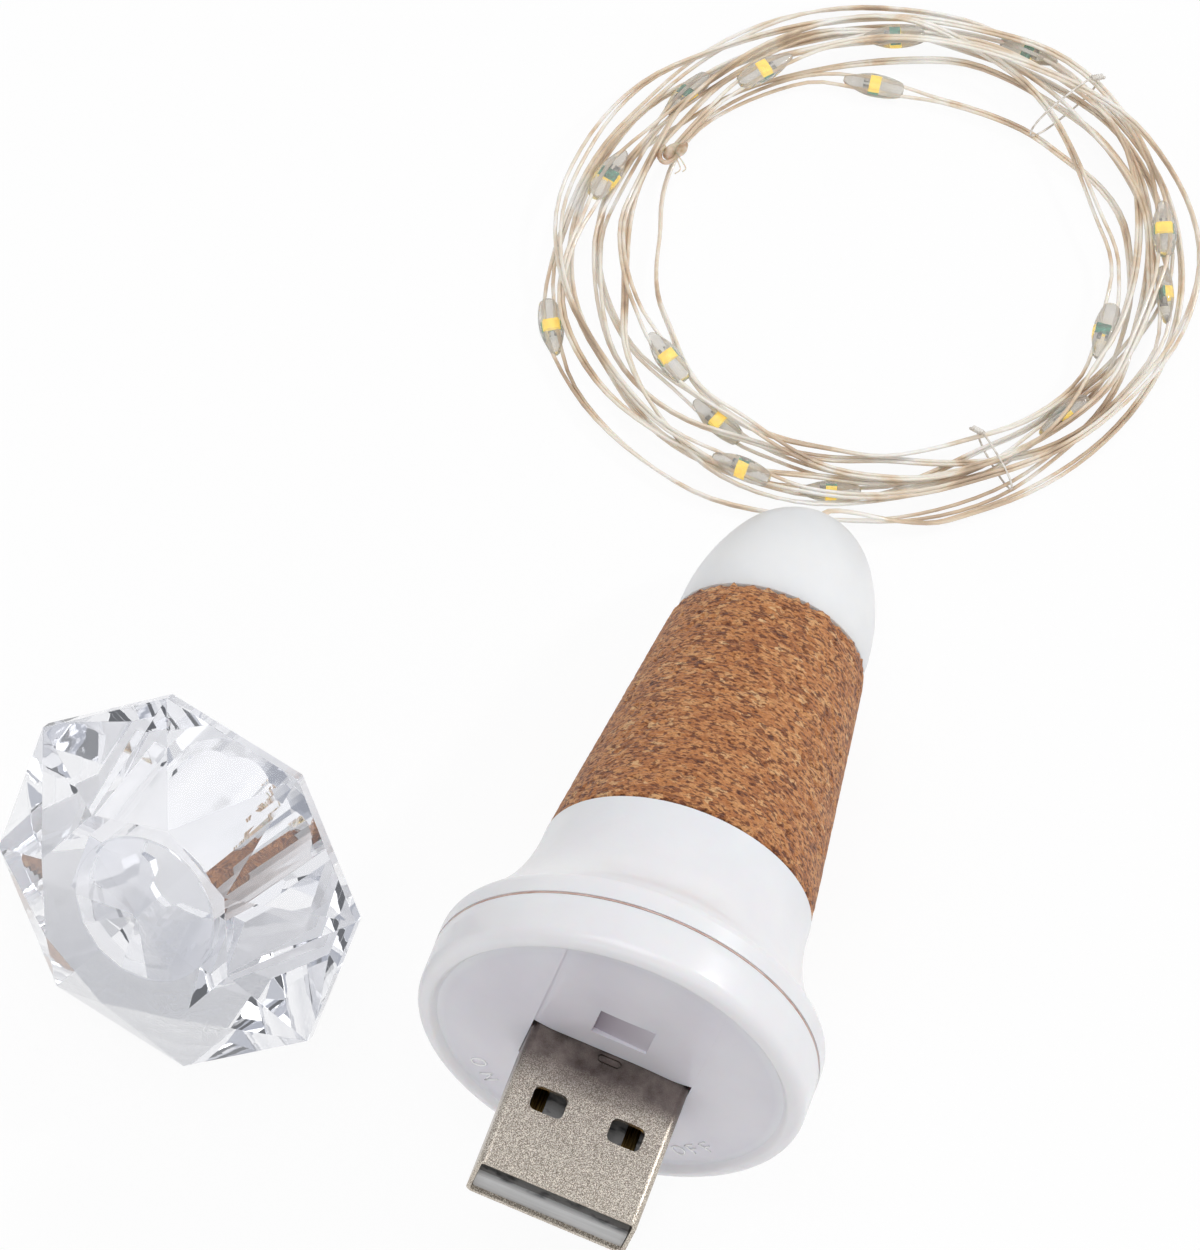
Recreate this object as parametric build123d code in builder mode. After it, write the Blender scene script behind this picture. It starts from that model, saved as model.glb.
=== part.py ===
# A bottle light shaped like a cork, lying on a table with its faceted cap off and its string of
# lights coiled behind it. A twist head carries a charging plug; the cell sits in the cork; the
# wire leaves through a milky tip. Millimetres, +Z up, +X right, +Y away from the viewer.
from build123d import *

import os
import numpy
from math import asin, atan2, cos, degrees, hypot, pi, radians, sin, sqrt, tan

os.makedirs("parts", exist_ok=True)

# Where the three groups lie on the table, and the corners of the lead between tip and coil
stopper_x, stopper_y = 11.865, -17.629
stopper_heading = 18.5
stopper_roll = 10.5
cap_x, cap_y = -18.845, -1.422
cap_heading = -123.6
coil_x, coil_y = 32.485, 53.941
lead_rise = (31.069, 31.821, 3.30)
lead_fall = (33.569, 31.821, 1.85)
lead_run, lead_run_lift = 2.10, 0.20
bend_share = 0.45

# Shared cutting and fitting allowances
overrun = 2.0
fit_gap = 0.05
turning_gap = 0.05

# Twist head: a shallow dished disc with a rounded lip
head_radius = 14.48
head_depth = 5.25
lip_round = 1.05
lip_slope = 0.5
lip_blend = 0.6
dish_depth = 0.43
head_side_wall = 1.40
head_face_wall = 1.50
seam_gap = 0.15
channel_depth = 0.15
indicator_width, indicator_height = 4.15, 2.65
indicator_rise = 5.44

# Charging plug, of the flat four-contact kind
plug_width, plug_height = 12.0, 4.5
plug_length = 11.83
plug_corner = 0.55
plug_sheet = 0.30
plug_window_width, plug_window_length = 2.5, 2.0
plug_window_corner = 0.5
plug_window_spread = 5.86
plug_window_reach = 5.43
latch_width, latch_height = 1.83, 0.68
latch_reach = 0.46
latch_groove = 0.12
tongue_thickness = 1.90
tongue_setback = 0.35
tongue_edge = 0.25
contact_width = 1.00
contact_thickness = 0.30
contact_proud = 0.06
contact_long, contact_short = 9.6, 8.6
contact_outer_spread, contact_inner_spread = 7.0, 2.0

# Round charging board, its parts, and the plate that closes the head
board_thickness = 1.00
indicator_led_width, indicator_led_height, indicator_led_depth = 2.00, 1.25, 0.80
charge_chip_width, charge_chip_height, charge_chip_depth = 2.90, 1.60, 1.10
charge_chip_x, charge_chip_y = 4.5, 5.2
resistor_long, resistor_wide, resistor_thick = 1.60, 0.80, 0.50
resistor_circle_radius = 7.4
resistor_count = 6
bearing_plate_thickness = 1.00
bearing_rim_wall = 0.90
hub_inset = 1.75
hub_wall = 1.30
hub_length = 4.30
ring_width, ring_thickness = 1.50, 0.60
ring_groove = 0.60
wiper_sheet = 0.25
wiper_finger_radius = 0.45
wiper_finger_count = 3
contact_plate_thickness = 1.00
contact_plate_hole = 2.60

# Collar: a flange beside the head, then a waist that flares down to the cork
flange_round = 0.80
flange_rim = 1.13
flange_plate = 1.60
waist_radius = 10.18
collar_length = 11.92
collar_bore_wall = 0.53

# Cork, turned to a taper, on a plastic tube that holds the cell
cork_large_radius = 10.06
cork_small_radius = 7.42
cork_length = 22.19
cork_edge = 0.25
tube_wall = 0.85
cork_wall_at_tip = 1.12
tube_flange = 1.00

cell_back_room = 2.085
cell_gap = 0.40
cell_front = 2.40
cell_button_radius, cell_button_height = 1.60, 0.50
tab_width, tab_thickness = 3.00, 0.15
cell_lead_radius = 0.40
cell_lead_spread = 4.6

# Milky tip: a plug in the tube, a short band, then a swelling flank and a round nose
tip_step = 0.12
tip_band_length = 0.60
tip_flank_length, tip_flank_drop = 7.70, 1.90
tip_nose_length = 11.40
tip_wall = 1.30
tip_plug_wall = 0.50
tip_plug_length = 4.00
exit_radius = 0.90
exit_bore = 0.45
exit_proud = 0.12

# The string: a flat pair of fine insulated wires
wire_diameter = 0.34
string_diameter = 0.70
exit_straight = 1.30

# Resin drops along the string, each with a lamp inside
bead_length, bead_radius = 4.4, 0.95
bead_end_radius = 0.32
lamp_along, lamp_across, lamp_height = 0.80, 1.25, 0.35

# The coil, measured on its outermost turn, and how its turns are laid
coil_half_x, coil_half_y = 23.85, 21.65
coil_lift = 0.73
layer_rise = 1.15
lane_pitch = 1.30
coil_start_angle = -75
coil_turns = 9.625
spiral_turn = 4.80
spiral_softness_share = 0.12
climb_turns = 0.25
fan_share, fan_angle = 0.05, 190
inner_stray, outer_stray = 3.0, 1.6
inner_stray_turn, inner_stray_share = 4.62, 0.36
outer_stray_turn, outer_stray_share = 0.74, 0.30
end_inset, end_lift, end_drop = 7.2, 1.20, 0.80
end_inset_share, end_lift_share, end_drop_share = 0.425, 0.70, 0.09
bead_turn_shares = (0.733, 1.36, 1.925, 2.564, 3.181, 3.85, 4.453, 5.151, 5.80, 6.45, 7.09,
                    7.658, 8.236, 8.897, 9.543)

# Fine wire ties round the coil
tie_radius = 0.17
tie_clearance = 0.25
tie_corner = 0.80
tie_knot_radius = 0.45
end_drop_length, end_drop_radius = 2.2, 0.65
tie_angles = (41, -62)

# The clear cap, cut like a gem: eight sides, a table, and a stepped hollow for the plug
gem_radius = 14.76
gem_sides = 8
girdle_height = 0.80
crown_height = 5.90
table_radius = 8.10
back_depth = 9.30
back_flat = 6.85
socket_radius = 5.70
socket_clearance = 0.15
star_radius = 5.60
star_depth, star_apex_depth = 2.50, 0.78
star_sides = 16
gate_radius = 0.35


# Heights along the stopper, from the plane of the head's rim towards the tip
board_front = dish_depth + head_face_wall
board_back = board_front + board_thickness
head_back = head_depth - seam_gap / 2
collar_front = head_depth + seam_gap / 2
flange_back = collar_front + flange_plate
cork_front = head_depth + collar_length
cork_back = cork_front + cork_length
tip_shoulder = cork_back
nose_start = tip_shoulder + tip_band_length
tip_end = nose_start + tip_nose_length
plug_tip = dish_depth - plug_length
hub_end = head_back + hub_length
plate_front = hub_end + wiper_sheet + 2 * wiper_finger_radius
plate_back = plate_front + contact_plate_thickness
tube_back = cork_back - cork_edge
tip_plug_start = tube_back - tip_plug_length

# Radii that follow one another from the outside in
collar_bore = waist_radius - collar_bore_wall
hub_radius = collar_bore - hub_inset
tube_radius = cork_small_radius - cork_wall_at_tip
tube_bore = tube_radius - tube_wall
cell_radius = tube_bore - cell_gap
head_bore = head_radius - head_side_wall
tip_radius = cork_small_radius - tip_step
tip_bore = tube_bore - fit_gap - tip_plug_wall
tip_flank_radius = (tip_flank_length**2 + tip_flank_drop**2) / (2 * tip_flank_drop)

# The waist's flare is the arc that leaves the cork end along the stopper's axis and touches
# the flange's round from outside.
flange_round_radius = head_radius - flange_round
flange_round_height = collar_front + flange_rim
flare_reach = cork_front - flange_round_height
flare_spread = flange_round_radius - waist_radius
waist_flare = (flare_reach**2 + flare_spread**2 - flange_round**2) / (
    2 * (flange_round + flare_spread)
)
waist_centre_radius = waist_radius + waist_flare
waist_centre_height = cork_front

# The stopper rests on the round edge of its flange and on the flank of its tip,
# so its lean comes from those two rounds.
rest_drop = flange_round_radius - (tip_radius - tip_flank_radius)
rest_run = nose_start - flange_round_height
stopper_lean = degrees(
    atan2(rest_drop, rest_run) + asin((flange_round - tip_flank_radius) / hypot(rest_drop, rest_run))
)
stopper_height = (
    flange_round
    + flange_round_radius * cos(radians(stopper_lean))
    + flange_round_height * sin(radians(stopper_lean))
)
stopper_direction = Vector(0, 1, 0).rotate(Axis.X, -stopper_lean).rotate(Axis.Z, -stopper_heading)
stopper_level = Vector(1, 0, 0).rotate(Axis.Z, -stopper_heading)

# Plane of the head's rim: X along the plug's width, Y down, Z along the stopper to its tip
stopper = Plane(
    origin=(stopper_x, stopper_y, stopper_height),
    x_dir=stopper_level.rotate(Axis((0, 0, 0), stopper_direction), stopper_roll),
    z_dir=stopper_direction,
)
# Lengthwise section through the stopper: X outwards, Y along it
section = Plane(origin=stopper.origin, x_dir=stopper.x_dir, z_dir=-stopper.y_dir)
# The same seen from the side: X down through the plug's thickness, Y along the stopper
side_section = Plane(origin=stopper.origin, x_dir=stopper.y_dir, z_dir=stopper.x_dir)
stopper_axis = Axis(stopper.origin, stopper.z_dir)


def write(piece, name):
    """Label a finished piece and write it as one file."""
    piece.part.label = name
    export_step(piece.part, f"parts/{name}.step")


def biarc_handle(start, start_way, end, end_way):
    """Length of the equal handles of the two arcs that join these ends."""
    chord = end - start
    ways = start_way + end_way
    spread = 2 * (1 - start_way.dot(end_way))
    along = chord.dot(ways)
    return (sqrt(along**2 + spread * chord.dot(chord)) - along) / spread


def biarc_joint(start, start_way, end, end_way):
    """Where the two arcs meet, and their shared direction there."""
    handle = biarc_handle(start, start_way, end, end_way)
    near = start + start_way * handle
    far = end - end_way * handle
    return (near + far) / 2, far - near


# Twist head
crest_radius = head_radius - lip_round - lip_slope * lip_blend
dish_radius = crest_radius - lip_slope
plug_back = board_front

with BuildPart() as head_disc:
    with BuildSketch(section):
        with BuildLine():
            face = FilletPolyline(
                (0, dish_depth),
                (dish_radius, dish_depth),
                (crest_radius, 0),
                (head_radius, 0),
                (head_radius, head_back),
                radius=[lip_blend, lip_blend, lip_round],
            )
            Polyline(
                face @ 1,
                (head_bore, head_back),
                (head_bore, board_front),
                (0, board_front),
                face @ 0,
            )
        make_face()
    revolve(axis=stopper_axis)
    with BuildSketch(stopper.offset(dish_depth)):
        with Locations((0, -dish_radius / 2)):
            Rectangle(plug_width + 2 * fit_gap, dish_radius)
    extrude(amount=channel_depth, mode=Mode.SUBTRACT)
    with BuildSketch(stopper):
        RectangleRounded(plug_width + 2 * fit_gap, plug_height + 2 * fit_gap, plug_corner)
        with Locations((0, -indicator_rise)):
            Rectangle(indicator_width, indicator_height)
    extrude(amount=board_front + overrun, mode=Mode.SUBTRACT)
write(head_disc, "head_disc")

# Plug shell: folded sheet with two windows in each broad side and a latch mark at its root
with BuildPart() as usb_shell:
    with BuildSketch(stopper.offset(plug_tip)):
        RectangleRounded(plug_width, plug_height, plug_corner)
        RectangleRounded(
            plug_width - 2 * plug_sheet,
            plug_height - 2 * plug_sheet,
            plug_corner - plug_sheet,
            mode=Mode.SUBTRACT,
        )
    extrude(amount=plug_back - plug_tip)
    with BuildSketch(section):
        with GridLocations(plug_window_spread, 0, 2, 1):
            with Locations((0, dish_depth - plug_window_reach)):
                RectangleRounded(plug_window_width, plug_window_length, plug_window_corner)
    extrude(amount=plug_height, both=True, mode=Mode.SUBTRACT)
    with BuildSketch(section.offset(plug_height / 2 - plug_sheet / 2)):
        with Locations((0, dish_depth - latch_reach)):
            SlotOverall(latch_width, latch_height)
            SlotOverall(
                latch_width - 2 * latch_groove,
                latch_height - 2 * latch_groove,
                mode=Mode.SUBTRACT,
            )
    extrude(amount=overrun, mode=Mode.SUBTRACT)
write(usb_shell, "usb_shell")

# Tongue: the insulating block on the plug's lower side, grooved for its four contacts
tongue_width = plug_width - 2 * plug_sheet - 2 * fit_gap
tongue_low = plug_height / 2 - plug_sheet
tongue_top = tongue_low - tongue_thickness
tongue_tip = plug_tip + tongue_setback
contact_spots = (
    (-contact_outer_spread / 2, contact_long),
    (-contact_inner_spread / 2, contact_short),
    (contact_inner_spread / 2, contact_short),
    (contact_outer_spread / 2, contact_long),
)
contact_bed = tongue_top + contact_thickness - contact_proud

with BuildPart() as usb_tongue:
    with BuildSketch(stopper.offset(tongue_tip)) as tongue_end:
        with Locations((0, (tongue_low + tongue_top) / 2)):
            Rectangle(tongue_width, tongue_thickness)
        fillet(tongue_end.vertices().group_by(Axis.Y)[-1], plug_corner - plug_sheet)
    extrude(amount=plug_back - tongue_tip)
    with BuildSketch(side_section):
        with BuildLine():
            Polyline(
                (tongue_top, tongue_tip + tongue_edge),
                (tongue_top, tongue_tip),
                (tongue_top + tongue_edge, tongue_tip),
                close=True,
            )
        make_face()
    extrude(amount=plug_width, both=True, mode=Mode.SUBTRACT)
    for spot, length in contact_spots:
        with BuildSketch(stopper.offset(plug_back - length)):
            with Locations((spot, (tongue_top + contact_bed) / 2)):
                Rectangle(contact_width, contact_bed - tongue_top)
        extrude(amount=length, mode=Mode.SUBTRACT)
write(usb_tongue, "usb_tongue")

with BuildPart() as usb_contacts:
    for spot, length in contact_spots:
        with BuildSketch(stopper.offset(plug_back - length)):
            with Locations((spot, contact_bed - contact_thickness / 2)):
                Rectangle(contact_width, contact_thickness)
        extrude(amount=length)
write(usb_contacts, "usb_contacts")

# Charging board with its lamp behind the indicator opening
with BuildPart() as circuit_board:
    with BuildSketch(stopper.offset(board_front)):
        Circle(head_bore - fit_gap)
    extrude(amount=board_thickness)
write(circuit_board, "circuit_board")

with BuildPart() as charge_led:
    with BuildSketch(stopper.offset(board_front - indicator_led_depth)):
        with Locations((0, -indicator_rise)):
            Rectangle(indicator_led_width, indicator_led_height)
    extrude(amount=indicator_led_depth)
write(charge_led, "charge_led")

with BuildPart() as charge_chip:
    with BuildSketch(stopper.offset(board_back)):
        with Locations((charge_chip_x, charge_chip_y)):
            Rectangle(charge_chip_width, charge_chip_height)
    extrude(amount=charge_chip_depth)
write(charge_chip, "charge_chip")

with BuildPart() as board_parts:
    with BuildSketch(stopper.offset(board_back)):
        with PolarLocations(resistor_circle_radius, resistor_count, start_angle=90, angular_range=180):
            Rectangle(resistor_wide, resistor_long)
    extrude(amount=resistor_thick)
write(board_parts, "board_parts")

# Bearing plate: closes the head and carries the hub that turns in the collar
plate_low = head_back - bearing_plate_thickness
ring_front = flange_back + turning_gap
hub_bore = hub_radius - hub_wall

with BuildPart() as bearing_plate:
    with BuildSketch(section):
        with BuildLine():
            Polyline(
                (hub_bore, plate_low),
                (head_bore - fit_gap - bearing_rim_wall, plate_low),
                (head_bore - fit_gap - bearing_rim_wall, board_back),
                (head_bore - fit_gap, board_back),
                (head_bore - fit_gap, head_back),
                (hub_radius, head_back),
                (hub_radius, ring_front),
                (hub_radius - ring_groove, ring_front),
                (hub_radius - ring_groove, ring_front + ring_thickness),
                (hub_radius, ring_front + ring_thickness),
                (hub_radius, hub_end),
                (hub_bore, hub_end),
                close=True,
            )
        make_face()
    revolve(axis=stopper_axis)
write(bearing_plate, "bearing_plate")

with BuildPart() as retaining_ring:
    with BuildSketch(stopper.offset(ring_front)):
        Circle(hub_radius - ring_groove + ring_width)
        Circle(hub_radius - ring_groove, mode=Mode.SUBTRACT)
    extrude(amount=ring_thickness)
write(retaining_ring, "retaining_ring")

# Wiper: a sprung washer on the hub's end, whose round fingers ride on the contact plate
finger_ring = hub_radius - hub_wall / 2
with BuildPart() as switch_wiper:
    with BuildSketch(stopper.offset(hub_end)):
        Circle(hub_radius)
        Circle(hub_bore, mode=Mode.SUBTRACT)
    extrude(amount=wiper_sheet)
    with BuildSketch(stopper.offset(hub_end)):
        with PolarLocations(finger_ring, wiper_finger_count):
            Circle(wiper_finger_radius)
    extrude(amount=plate_front - turning_gap - hub_end)
write(switch_wiper, "switch_wiper")

with BuildPart() as contact_plate:
    with BuildSketch(stopper.offset(plate_front)):
        Circle(collar_bore - fit_gap)
        Circle(contact_plate_hole, mode=Mode.SUBTRACT)
    extrude(amount=contact_plate_thickness)
write(contact_plate, "contact_plate")

# Collar: the flange's edge and the waist are two tangent rounds
flange_touch = Vector(waist_centre_radius, waist_centre_height) + (
    Vector(flange_round_radius, flange_round_height)
    - Vector(waist_centre_radius, waist_centre_height)
).normalized() * waist_flare

with BuildPart() as collar:
    with BuildSketch(section):
        with BuildLine():
            rim = Line((head_radius, collar_front), (head_radius, flange_round_height))
            edge = TangentArc(rim @ 1, flange_touch, tangent=(0, 1))
            waist = TangentArc(edge @ 1, (waist_radius, cork_front), tangent=edge % 1)
            Polyline(
                waist @ 1,
                (collar_bore, cork_front),
                (collar_bore, flange_back),
                (hub_radius + turning_gap, flange_back),
                (hub_radius + turning_gap, collar_front),
                rim @ 0,
            )
        make_face()
    revolve(axis=stopper_axis)
write(collar, "collar")

# Tube that holds the cell; its flange carries the contact plate
with BuildPart() as inner_tube:
    with BuildSketch(section):
        with BuildLine():
            Polyline(
                (tube_bore, plate_back),
                (collar_bore - fit_gap, plate_back),
                (collar_bore - fit_gap, plate_back + tube_flange),
                (tube_radius, plate_back + tube_flange),
                (tube_radius, tube_back),
                (tube_bore, tube_back),
                close=True,
            )
        make_face()
    revolve(axis=stopper_axis)
write(inner_tube, "inner_tube")

# Cork sleeve: a turned taper with a spigot that is glued into the collar
with BuildPart() as cork_sleeve:
    with BuildSketch(section):
        with BuildLine():
            taper = FilletPolyline(
                (collar_bore - fit_gap, cork_front),
                (cork_large_radius, cork_front),
                (cork_small_radius, cork_back),
                (tube_radius, cork_back),
                radius=[cork_edge / 5, cork_edge],
            )
            Polyline(
                taper @ 1,
                (tube_radius, plate_back + tube_flange),
                (collar_bore - fit_gap, plate_back + tube_flange),
                taper @ 0,
            )
        make_face()
    revolve(axis=stopper_axis)
write(cork_sleeve, "cork_sleeve")

# Cell with its button end to the head, and the tabs and leads that join it to the plate
cell_start = plate_back + tube_flange + cell_front
cell_end = tip_plug_start - cell_back_room
cell_length = cell_end - cell_start

with BuildPart() as battery_cell:
    with BuildSketch(stopper.offset(cell_start)):
        Circle(cell_radius)
    extrude(amount=cell_length)
    with BuildSketch(stopper.offset(cell_start)):
        Circle(cell_button_radius)
    extrude(amount=-cell_button_height)
write(battery_cell, "battery_cell")

tab_front = cell_start - cell_button_height - tab_thickness
side_tab = cell_radius + tab_thickness
with BuildPart() as battery_tabs:
    with BuildSketch(stopper.offset(tab_front)):
        with Locations((cell_lead_spread / 4, 0)):
            Rectangle(cell_lead_spread / 2 + tab_width / 2, tab_width)
    extrude(amount=tab_thickness)
    with BuildSketch(section):
        with BuildLine():
            Polyline(
                (-cell_lead_spread / 3, tab_front),
                (-side_tab, tab_front),
                (-side_tab, cell_end + tab_thickness),
                (cell_radius / 2, cell_end + tab_thickness),
                (cell_radius / 2, cell_end),
                (-cell_radius, cell_end),
                (-cell_radius, tab_front + tab_thickness),
                (-cell_lead_spread / 3, tab_front + tab_thickness),
                close=True,
            )
        make_face()
    extrude(amount=tab_width / 2 - tab_thickness, both=True)
write(battery_tabs, "battery_tabs")

with BuildPart() as battery_leads:
    with BuildSketch(stopper.offset(plate_back)):
        with GridLocations(cell_lead_spread + 2 * cell_lead_radius, 0, 2, 1):
            Circle(cell_lead_radius)
    extrude(amount=tab_front - plate_back)
write(battery_leads, "battery_leads")

# Milky tip: hollow, with an outlet for the string in its nose
inner_nose_end = tip_end - tip_wall
along, inward = Vector(0, 1), Vector(-1, 0)

with BuildPart() as diffuser_tip:
    with BuildSketch(section):
        with BuildLine():
            outside = Polyline(
                (tip_bore, tip_plug_start),
                (tube_bore - fit_gap, tip_plug_start),
                (tube_bore - fit_gap, tip_shoulder),
                (tip_radius, tip_shoulder),
                (tip_radius, nose_start),
            )
            flank_end = (tip_radius - tip_flank_drop, nose_start + tip_flank_length)
            flank = TangentArc(outside @ 1, flank_end, tangent=along)
            nose = TangentArc(flank @ 1, (exit_radius, tip_end), tangent=flank % 1)
            foot, top = Vector(tip_bore, nose_start), Vector(exit_radius, inner_nose_end)
            joint, joint_way = biarc_joint(foot, along, top, inward)
            TangentArc(foot, joint, tangent=along)
            TangentArc(joint, top, tangent=joint_way)
            Line(nose @ 1, top)
            Line(foot, outside @ 0)
        make_face()
    revolve(axis=stopper_axis)
write(diffuser_tip, "diffuser_tip")

string_start = tip_end + exit_proud
with BuildPart() as exit_grommet:
    with BuildSketch(stopper.offset(inner_nose_end)):
        Circle(exit_radius)
        Circle(exit_bore, mode=Mode.SUBTRACT)
    extrude(amount=string_start - inner_nose_end)
write(exit_grommet, "exit_grommet")

# The pair of wires inside: from the plate, past the cell and together into the outlet
wire_ring = (cell_radius + tube_bore) / 2
with BuildPart() as inner_wires:
    for side in (-1, 1):
        with BuildLine(side_section) as run:
            FilletPolyline(
                (side * wire_ring, plate_back),
                (side * wire_ring, cell_end + wire_diameter),
                (side * tip_bore / 2, tip_plug_start + tip_wall),
                (side * wire_diameter / 2, inner_nose_end - tip_wall),
                (side * wire_diameter / 2, string_start),
                radius=wire_diameter * 2,
            )
        with BuildSketch(Plane(run.wire() @ 0, z_dir=run.wire() % 0)):
            Circle(wire_diameter / 2)
        sweep(path=run.wire())
write(inner_wires, "inner_wires")


# The coil's centre line
def ramp(turn, start, end):
    """Smooth step from 0 at start to 1 at end."""
    share = min(max((turn - start) / (end - start), 0), 1)
    return share * share * (3 - 2 * share)


def bump(turn, middle, half):
    """Rounded bump of height 1 at middle, 0 beyond half on either side."""
    share = (turn - middle) / half
    return cos(pi / 2 * share) ** 2 if abs(share) < 1 else 0


def coil_inset(turn):
    """How far the string lies inside the coil's outermost line after so many turns."""
    angle = radians(coil_start_angle + 360 * turn)
    lane = spiral_turn - sqrt((turn - spiral_turn) ** 2 + spiral_softness_share**2)
    fan = 1 + fan_share * cos(angle - radians(fan_angle))
    return (
        lane * lane_pitch * fan
        + inner_stray * bump(turn, inner_stray_turn, inner_stray_share)
        - outer_stray * bump(turn, outer_stray_turn, outer_stray_share)
        + end_inset * ramp(turn, coil_turns - end_inset_share, coil_turns)
    )


def coil_point(turn):
    """Centre of the string after so many turns: in along the table, up, and out again."""
    angle = radians(coil_start_angle + 360 * turn)
    inset = coil_inset(turn)
    height = (
        coil_lift
        + layer_rise * ramp(turn, spiral_turn - climb_turns, spiral_turn + climb_turns)
        + end_lift * ramp(turn, coil_turns - end_lift_share, coil_turns - end_inset_share)
        - end_drop * ramp(turn, coil_turns - end_drop_share, coil_turns)
    )
    return Vector(
        coil_x + (coil_half_x - inset) * cos(angle),
        coil_y + (coil_half_y - inset) * sin(angle),
        height,
    )


def coil_tangent(turn):
    """Direction of travel along the coil."""
    step = 1e-4
    return (coil_point(turn + step) - coil_point(turn - step)).normalized()


quarters = [quarter / 4 for quarter in range(int(coil_turns * 4) + 1)]
if coil_turns > quarters[-1]:
    quarters.append(coil_turns)

coil_begin = coil_point(0) - coil_tangent(0) * string_diameter
coil_finish = coil_point(coil_turns) + coil_tangent(coil_turns) * string_diameter

with BuildLine() as coil_line:
    Line(coil_begin, coil_point(0))
    for before, after in zip(quarters, quarters[1:]):
        start, end = coil_point(before), coil_point(after)
        start_way, end_way = coil_tangent(before), coil_tangent(after)
        joint, joint_way = biarc_joint(start, start_way, end, end_way)
        TangentArc(start, joint, tangent=start_way)
        TangentArc(joint, end, tangent=joint_way)
    Line(coil_point(coil_turns), coil_finish)
coil_wire = coil_line.wire()

with BuildPart() as string_coil:
    with BuildSketch(Plane(coil_begin, z_dir=coil_tangent(0))):
        Circle(string_diameter / 2)
    sweep(path=coil_wire)
write(string_coil, "string_coil")

# Least gap of the coil to itself, measured between points set along it
gap_step, gap_apart = 0.50, 60
coil_spots = []
for edge in coil_wire.edges():
    count = max(int(edge.length / gap_step), 1)
    coil_spots += [tuple(edge.position_at(index / count)) for index in range(count)]


def least_gap(spots, apart):
    """Least distance between points of a path with at least this many steps between them."""
    cloud = numpy.array(spots)
    least = 1e9
    for index in range(len(cloud) - apart):
        away = numpy.linalg.norm(cloud[index + apart:] - cloud[index], axis=1)
        least = min(least, away.min())
    return least


coil_length = coil_wire.length
print("coil length", round(coil_length, 1))
print("coil least gap to itself", round(least_gap(coil_spots, gap_apart) - string_diameter, 3))
coil_section = pi * (string_diameter / 2) ** 2
print("coil volume over section times length",
      round(string_coil.part.volume / coil_section / coil_length, 4))

# The lead from the tip to the coil
tip_outlet = stopper.from_local_coords(Vector(0, 0, string_start))
lead_route = [
    tip_outlet,
    tip_outlet + stopper.z_dir * exit_straight,
    Vector(lead_rise),
    Vector(lead_fall),
    coil_begin - coil_tangent(0) * lead_run + Vector(0, 0, lead_run_lift),
    coil_begin,
]


def corner_radii(route):
    """For each corner, a share of its shorter run over the tangent of half its turn."""
    radii = []
    for before, here, after in zip(route, route[1:], route[2:]):
        half_turn = radians((here - before).get_angle(after - here) / 2)
        shorter = min((here - before).length, (after - here).length)
        radii.append(bend_share * shorter / tan(half_turn))
    return radii


lead_radii = corner_radii(lead_route)
print("lead corner radii", [round(radius, 2) for radius in lead_radii])
with BuildPart() as string_lead:
    with BuildLine() as lead_line:
        FilletPolyline(*lead_route, radius=lead_radii)
    lead_wire = lead_line.wire()
    with BuildSketch(Plane(lead_wire @ 0, z_dir=lead_wire % 0)):
        Circle(string_diameter / 2)
    sweep(path=lead_wire)
write(string_lead, "string_lead")
print("lead length", round(lead_wire.length, 1))
print("lead volume over section times length",
      round(string_lead.part.volume / coil_section / lead_wire.length, 4))

# Resin drops and the lamps inside them
bead_lift = bead_radius - coil_lift
for index, turn in enumerate(bead_turn_shares, start=1):
    way = coil_tangent(turn)
    middle = coil_point(turn) + Vector(0, 0, bead_lift)
    beside = Vector(0, 0, 1).cross(way).normalized()
    lengthwise = Plane(middle, x_dir=way, z_dir=-beside)
    with BuildPart() as bead:
        with BuildSketch(lengthwise):
            with BuildLine():
                back = ThreePointArc(
                    (-bead_length / 2, bead_end_radius),
                    (0, bead_radius),
                    (bead_length / 2, bead_end_radius),
                )
                Polyline(back @ 1, (bead_length / 2, 0), (-bead_length / 2, 0), back @ 0)
            make_face()
        revolve(axis=Axis(middle, way))
    write(bead, f"led_bead_{index:02d}")
    lamp_plane = Plane(
        middle + lengthwise.y_dir * (string_diameter / 2 - bead_lift + fit_gap),
        x_dir=way,
        z_dir=lengthwise.y_dir,
    )
    with BuildPart() as lamp:
        with BuildSketch(lamp_plane):
            Rectangle(lamp_along, lamp_across)
        extrude(amount=lamp_height)
    write(lamp, f"led_chip_{index:02d}")

# The string's far end, folded back and sealed in a small drop
end_way = coil_tangent(coil_turns)
end_plane = Plane(coil_finish, x_dir=end_way, z_dir=end_way.cross(Vector(0, 0, 1)))
with BuildPart() as string_end:
    with BuildSketch(end_plane):
        with BuildLine():
            rounded = ThreePointArc(
                (0, string_diameter / 2),
                (end_drop_length / 2, end_drop_radius),
                (end_drop_length, bead_end_radius),
            )
            Polyline(rounded @ 1, (end_drop_length, 0), (0, 0), rounded @ 0)
        make_face()
    revolve(axis=Axis(coil_finish, end_way))
write(string_end, "string_end")

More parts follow.
